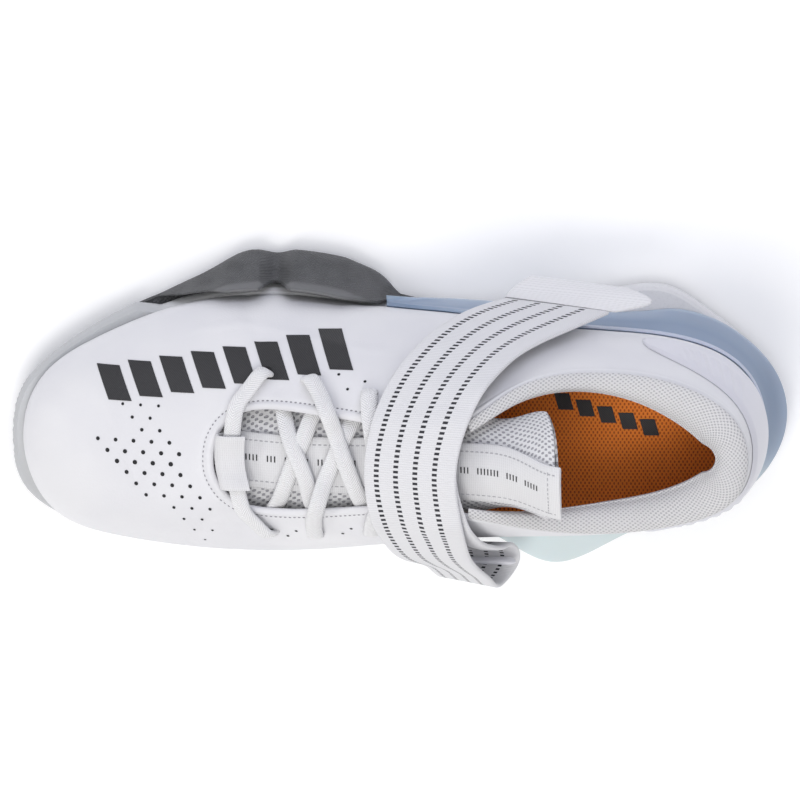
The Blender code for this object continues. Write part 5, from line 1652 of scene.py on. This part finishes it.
def lace_route(strand):
    """The strand's middle line, continued into the eyelets at ends that lie over the upper."""
    rows, points = LACE_ROWS[strand], strand_points(strand)
    if rows[0].over == "upper":
        points = eyelet_end(points[0], points[1]) + points[1:]
    if rows[-1].over == "upper":
        points = points[:-1] + eyelet_end(points[-1], points[-2])[::-1]
    return through(points, 90)


def eyelet_end(last, before):
    """Points that turn a lace's end down through the upper."""
    out = unit(last - before)
    down = unit(np.array([0.0, STRAP_AXIS[0], STRAP_AXIS[1] - 6.0]) - last * (0, 1, 1))
    return [last + out * 1.6 + down * 3.4, last + out * 0.9 + down * 1.2, last - out * 0.6 + down * 0.1]


def resampled(grid, count):
    """A grid with count even rows on the smooth curves down its columns."""
    fine = spline(np.linspace(0, 1, len(grid)), grid.reshape(len(grid), -1))(np.linspace(0, 1, count))
    return fine.reshape(count, *grid.shape[1:])


# The strap's and the tab's coarse grid and fine grid: stations and columns
STRAP_GRIDS = ((58, 5), (300, 25))
TAB_GRIDS = ((6, 5), (60, 25))


def band_piece(name, rows, grids, thickness, finish, node, width=None):
    """A strap from its rows: cleared of what is under it on a coarse grid, then made on a fine one."""
    coarse, fine = grids
    points, room = band_grid(rows, *coarse)
    points = resampled(clear_of_hull(points, room + thickness / 2), fine[0])
    points = resampled(points.swapaxes(0, 1), fine[1]).swapaxes(0, 1)
    normal = unit(np.cross(np.gradient(points, axis=0), np.gradient(points, axis=1)))
    far = np.median(np.sum(normal[-8:] * (points[-8:] - (0, *STRAP_AXIS)), axis=-1))
    half = normal * np.sign(far) * thickness / 2
    piece = sheet_piece(name, points + half, points - half, finish, width)
    stands_for(piece, "webbing", node)


def keeper_piece(finish):
    """The bar that the strap turns round, an oval that narrows at its ends."""
    front, rear = np.array(KEEPER_ENDS) * (LENGTH, BALL_WIDTH, COLLAR_HEIGHT)
    path = np.linspace(rear, front, 40)
    side = np.array([0.0, 1.0, 0.0])
    wide = unit(np.cross(front - rear, side))
    taper = np.minimum(1, np.sin(np.pi * np.linspace(0.04, 0.96, 40)) * 3.5)[:, None, None]
    turn = round_angles(24)[:, None]
    oval = wide * (KEEPER_WIDTH / 2 * np.cos(turn)) + side * (KEEPER_THICKNESS / 2 * np.sin(turn))
    sections = path[:, None] + taper * oval
    piece = grid_piece("keeper_bar", sections, finish, wrap_v=True, caps=True)
    stands_for(piece, "film", "strap_keeper")


EYELET_ENDS = (
    ("bar", 0), ("bar", -1), ("second_over", 0), ("second_under", 0), ("third_over", 0), ("third_under", 0),
)
EYELET_RADIUS = 2.4


def eyelets(finish):
    """Dark punched eyelets where the lace goes through the upper."""
    rows = [LACE_ROWS[strand][end] for strand, end in EYELET_ENDS]
    plans = [(row.along * LENGTH - 0.5, row.across * BALL_WIDTH * 1.02) for row in rows]
    small_discs("eyelets", plans, [EYELET_RADIUS] * len(plans), 0.14, finish, sides=24)


# Area lamps: place, size, power and colour. All look at the same point.
Lamp = namedtuple("Lamp", "name where size power colour")
LAMPS = (
    Lamp("key", (0.25, 0.50, 1.25), (0.55, 0.55), 6.2, (1.0, 0.98, 0.95)),
    Lamp("overhead", (-0.10, 0.0, 1.60), (0.9, 0.7), 4.4, (1.0, 1.0, 1.0)),
    Lamp("medial_fill", (0.05, 1.0, 0.45), (0.9, 0.4), 1.6, (1.0, 0.99, 0.97)),
    Lamp("cool_side", (-0.2, -0.95, 0.7), (0.9, 0.6), 4.2, (0.84, 0.86, 1.0)),
    Lamp("toe", (1.1, -0.1, 0.7), (0.6, 0.6), 2.8, (1.0, 1.0, 1.0)),
)
LAMP_AIM = (0.0, 0.0, 0.04)
CAMERA_AIM = (-0.0012, -0.010, 0.040)
CAMERA_AWAY = (-0.035, -0.208, 0.978)
CAMERA_DISTANCE = 2.4
CAMERA_LENS = 281.9
FLOOR_CORNERS = ((-3, -3, 0), (3, -3, 0), (3, 3, 0), (-3, 3, 0))
FLOOR_GLOW = 0.12
SKY_COLOUR = (0.95, 0.95, 1.0, 1.0)
SKY_STRENGTH = 0.40


def light(row):
    data = bpy.data.lights.new(row.name, "AREA")
    data.shape = "RECTANGLE"
    data.size, data.size_y = row.size
    data.energy = row.power
    data.color = row.colour
    lamp = linked(row.name, data)
    lamp.location = row.where
    lamp.rotation_euler = (Vector(LAMP_AIM) - Vector(row.where)).to_track_quat("-Z", "Y").to_euler()


def look():
    """The camera over the shoe, the toe to the left."""
    lens = bpy.data.cameras.new("camera")
    lens.lens = CAMERA_LENS
    lens.sensor_width = 36.0
    back = Vector(CAMERA_AWAY).normalized()
    right = Vector((-1.0, 0.0, 0.0))
    right = (right - back * right.dot(back)).normalized()
    turn = Matrix((right, back.cross(right), back)).transposed()
    camera = linked("camera", lens)
    camera.matrix_world = Matrix.Translation(Vector(CAMERA_AIM) + back * CAMERA_DISTANCE) @ turn.to_4x4()
    bpy.context.scene.camera = camera


def studio():
    """A pale floor, a soft sky and the lamps."""
    mesh = bpy.data.meshes.new("studio_floor")
    mesh.from_pydata(FLOOR_CORNERS, [], [(0, 1, 2, 3)])
    g = Graph("studio_floor", Roughness=0.9, Emission_Color=(0.95, 0.97, 1.0), Emission_Strength=FLOOR_GLOW)
    g.set("Base_Color", g.mix(g.noise(60.0, 2.0), (0.95, 0.95, 0.95), (0.97, 0.97, 0.97)))
    mesh.materials.append(g.done())
    linked("studio_floor", mesh)
    world = bpy.data.worlds.new("studio_world")
    world.use_nodes = True
    sky = world.node_tree.nodes["Background"].inputs
    sky["Color"].default_value = SKY_COLOUR
    sky["Strength"].default_value = SKY_STRENGTH
    bpy.context.scene.world = world
    bpy.context.scene.view_settings.view_transform = "Standard"
    for row in LAMPS:
        light(row)


def main():
    synthetic = synthetic_material()
    lining = lining_material()
    film = film_material()
    dark = plain_material("hole_dark", (0.012, 0.012, 0.014), 0.8)
    thread = plain_material("thread", (0.42, 0.42, 0.44), 0.7)
    ink = print_material()
    lace = lace_material()
    upper_shell([synthetic, lining])
    heel_film_piece(film)
    collar_piece(mesh_material("collar_mesh", 2.1, (0.70, 0.695, 0.70), (0.48, 0.475, 0.49), 0.3))
    tongue_piece(mesh_material("tongue_mesh", 3.7, (0.76, 0.76, 0.775), (0.36, 0.36, 0.39), 0.4))
    insole_piece(insole_material())
    midsole_piece(foam_material())
    wedge_piece(plate_material())
    outsole_piece(rubber_material())
    label_piece(webbing_material("label_weave", 0.8))
    lace_piece("lace_front_bar", ("bar",), lace, "lace_bar")
    for number, crossing in enumerate(("first", "second", "third"), 1):
        strands = (f"{crossing}_under", f"{crossing}_over")
        lace_piece(f"lace_crossing_{number}", strands, lace, f"lace_cross_{number}")
    webbing = strap_material(STRAP_WIDTH)
    band_piece("strap_band", STRAP_ROWS, STRAP_GRIDS, STRAP_THICKNESS, webbing, "strap", STRAP_WIDTH)
    tab = webbing_material("tab_weave", 1.6, (0.77, 0.77, 0.785))
    band_piece("hook_end", HOOK_TAB_ROWS, TAB_GRIDS, TAB_THICKNESS, tab, "hook_tab")
    keeper_piece(film)
    pinholes(dark)
    print_blocks(ink)
    eyelets(dark)
    label_marks(ink, thread)
    insole_marks(ink)
    grey = plain_material("stitch_grey", (0.26, 0.26, 0.28), 0.7)
    stitch_line("throat_stitches", *throat_line(4.0, STITCH_LIFT), 1.9, 1.0, 0.6, grey)
    studio()
    look()


main()
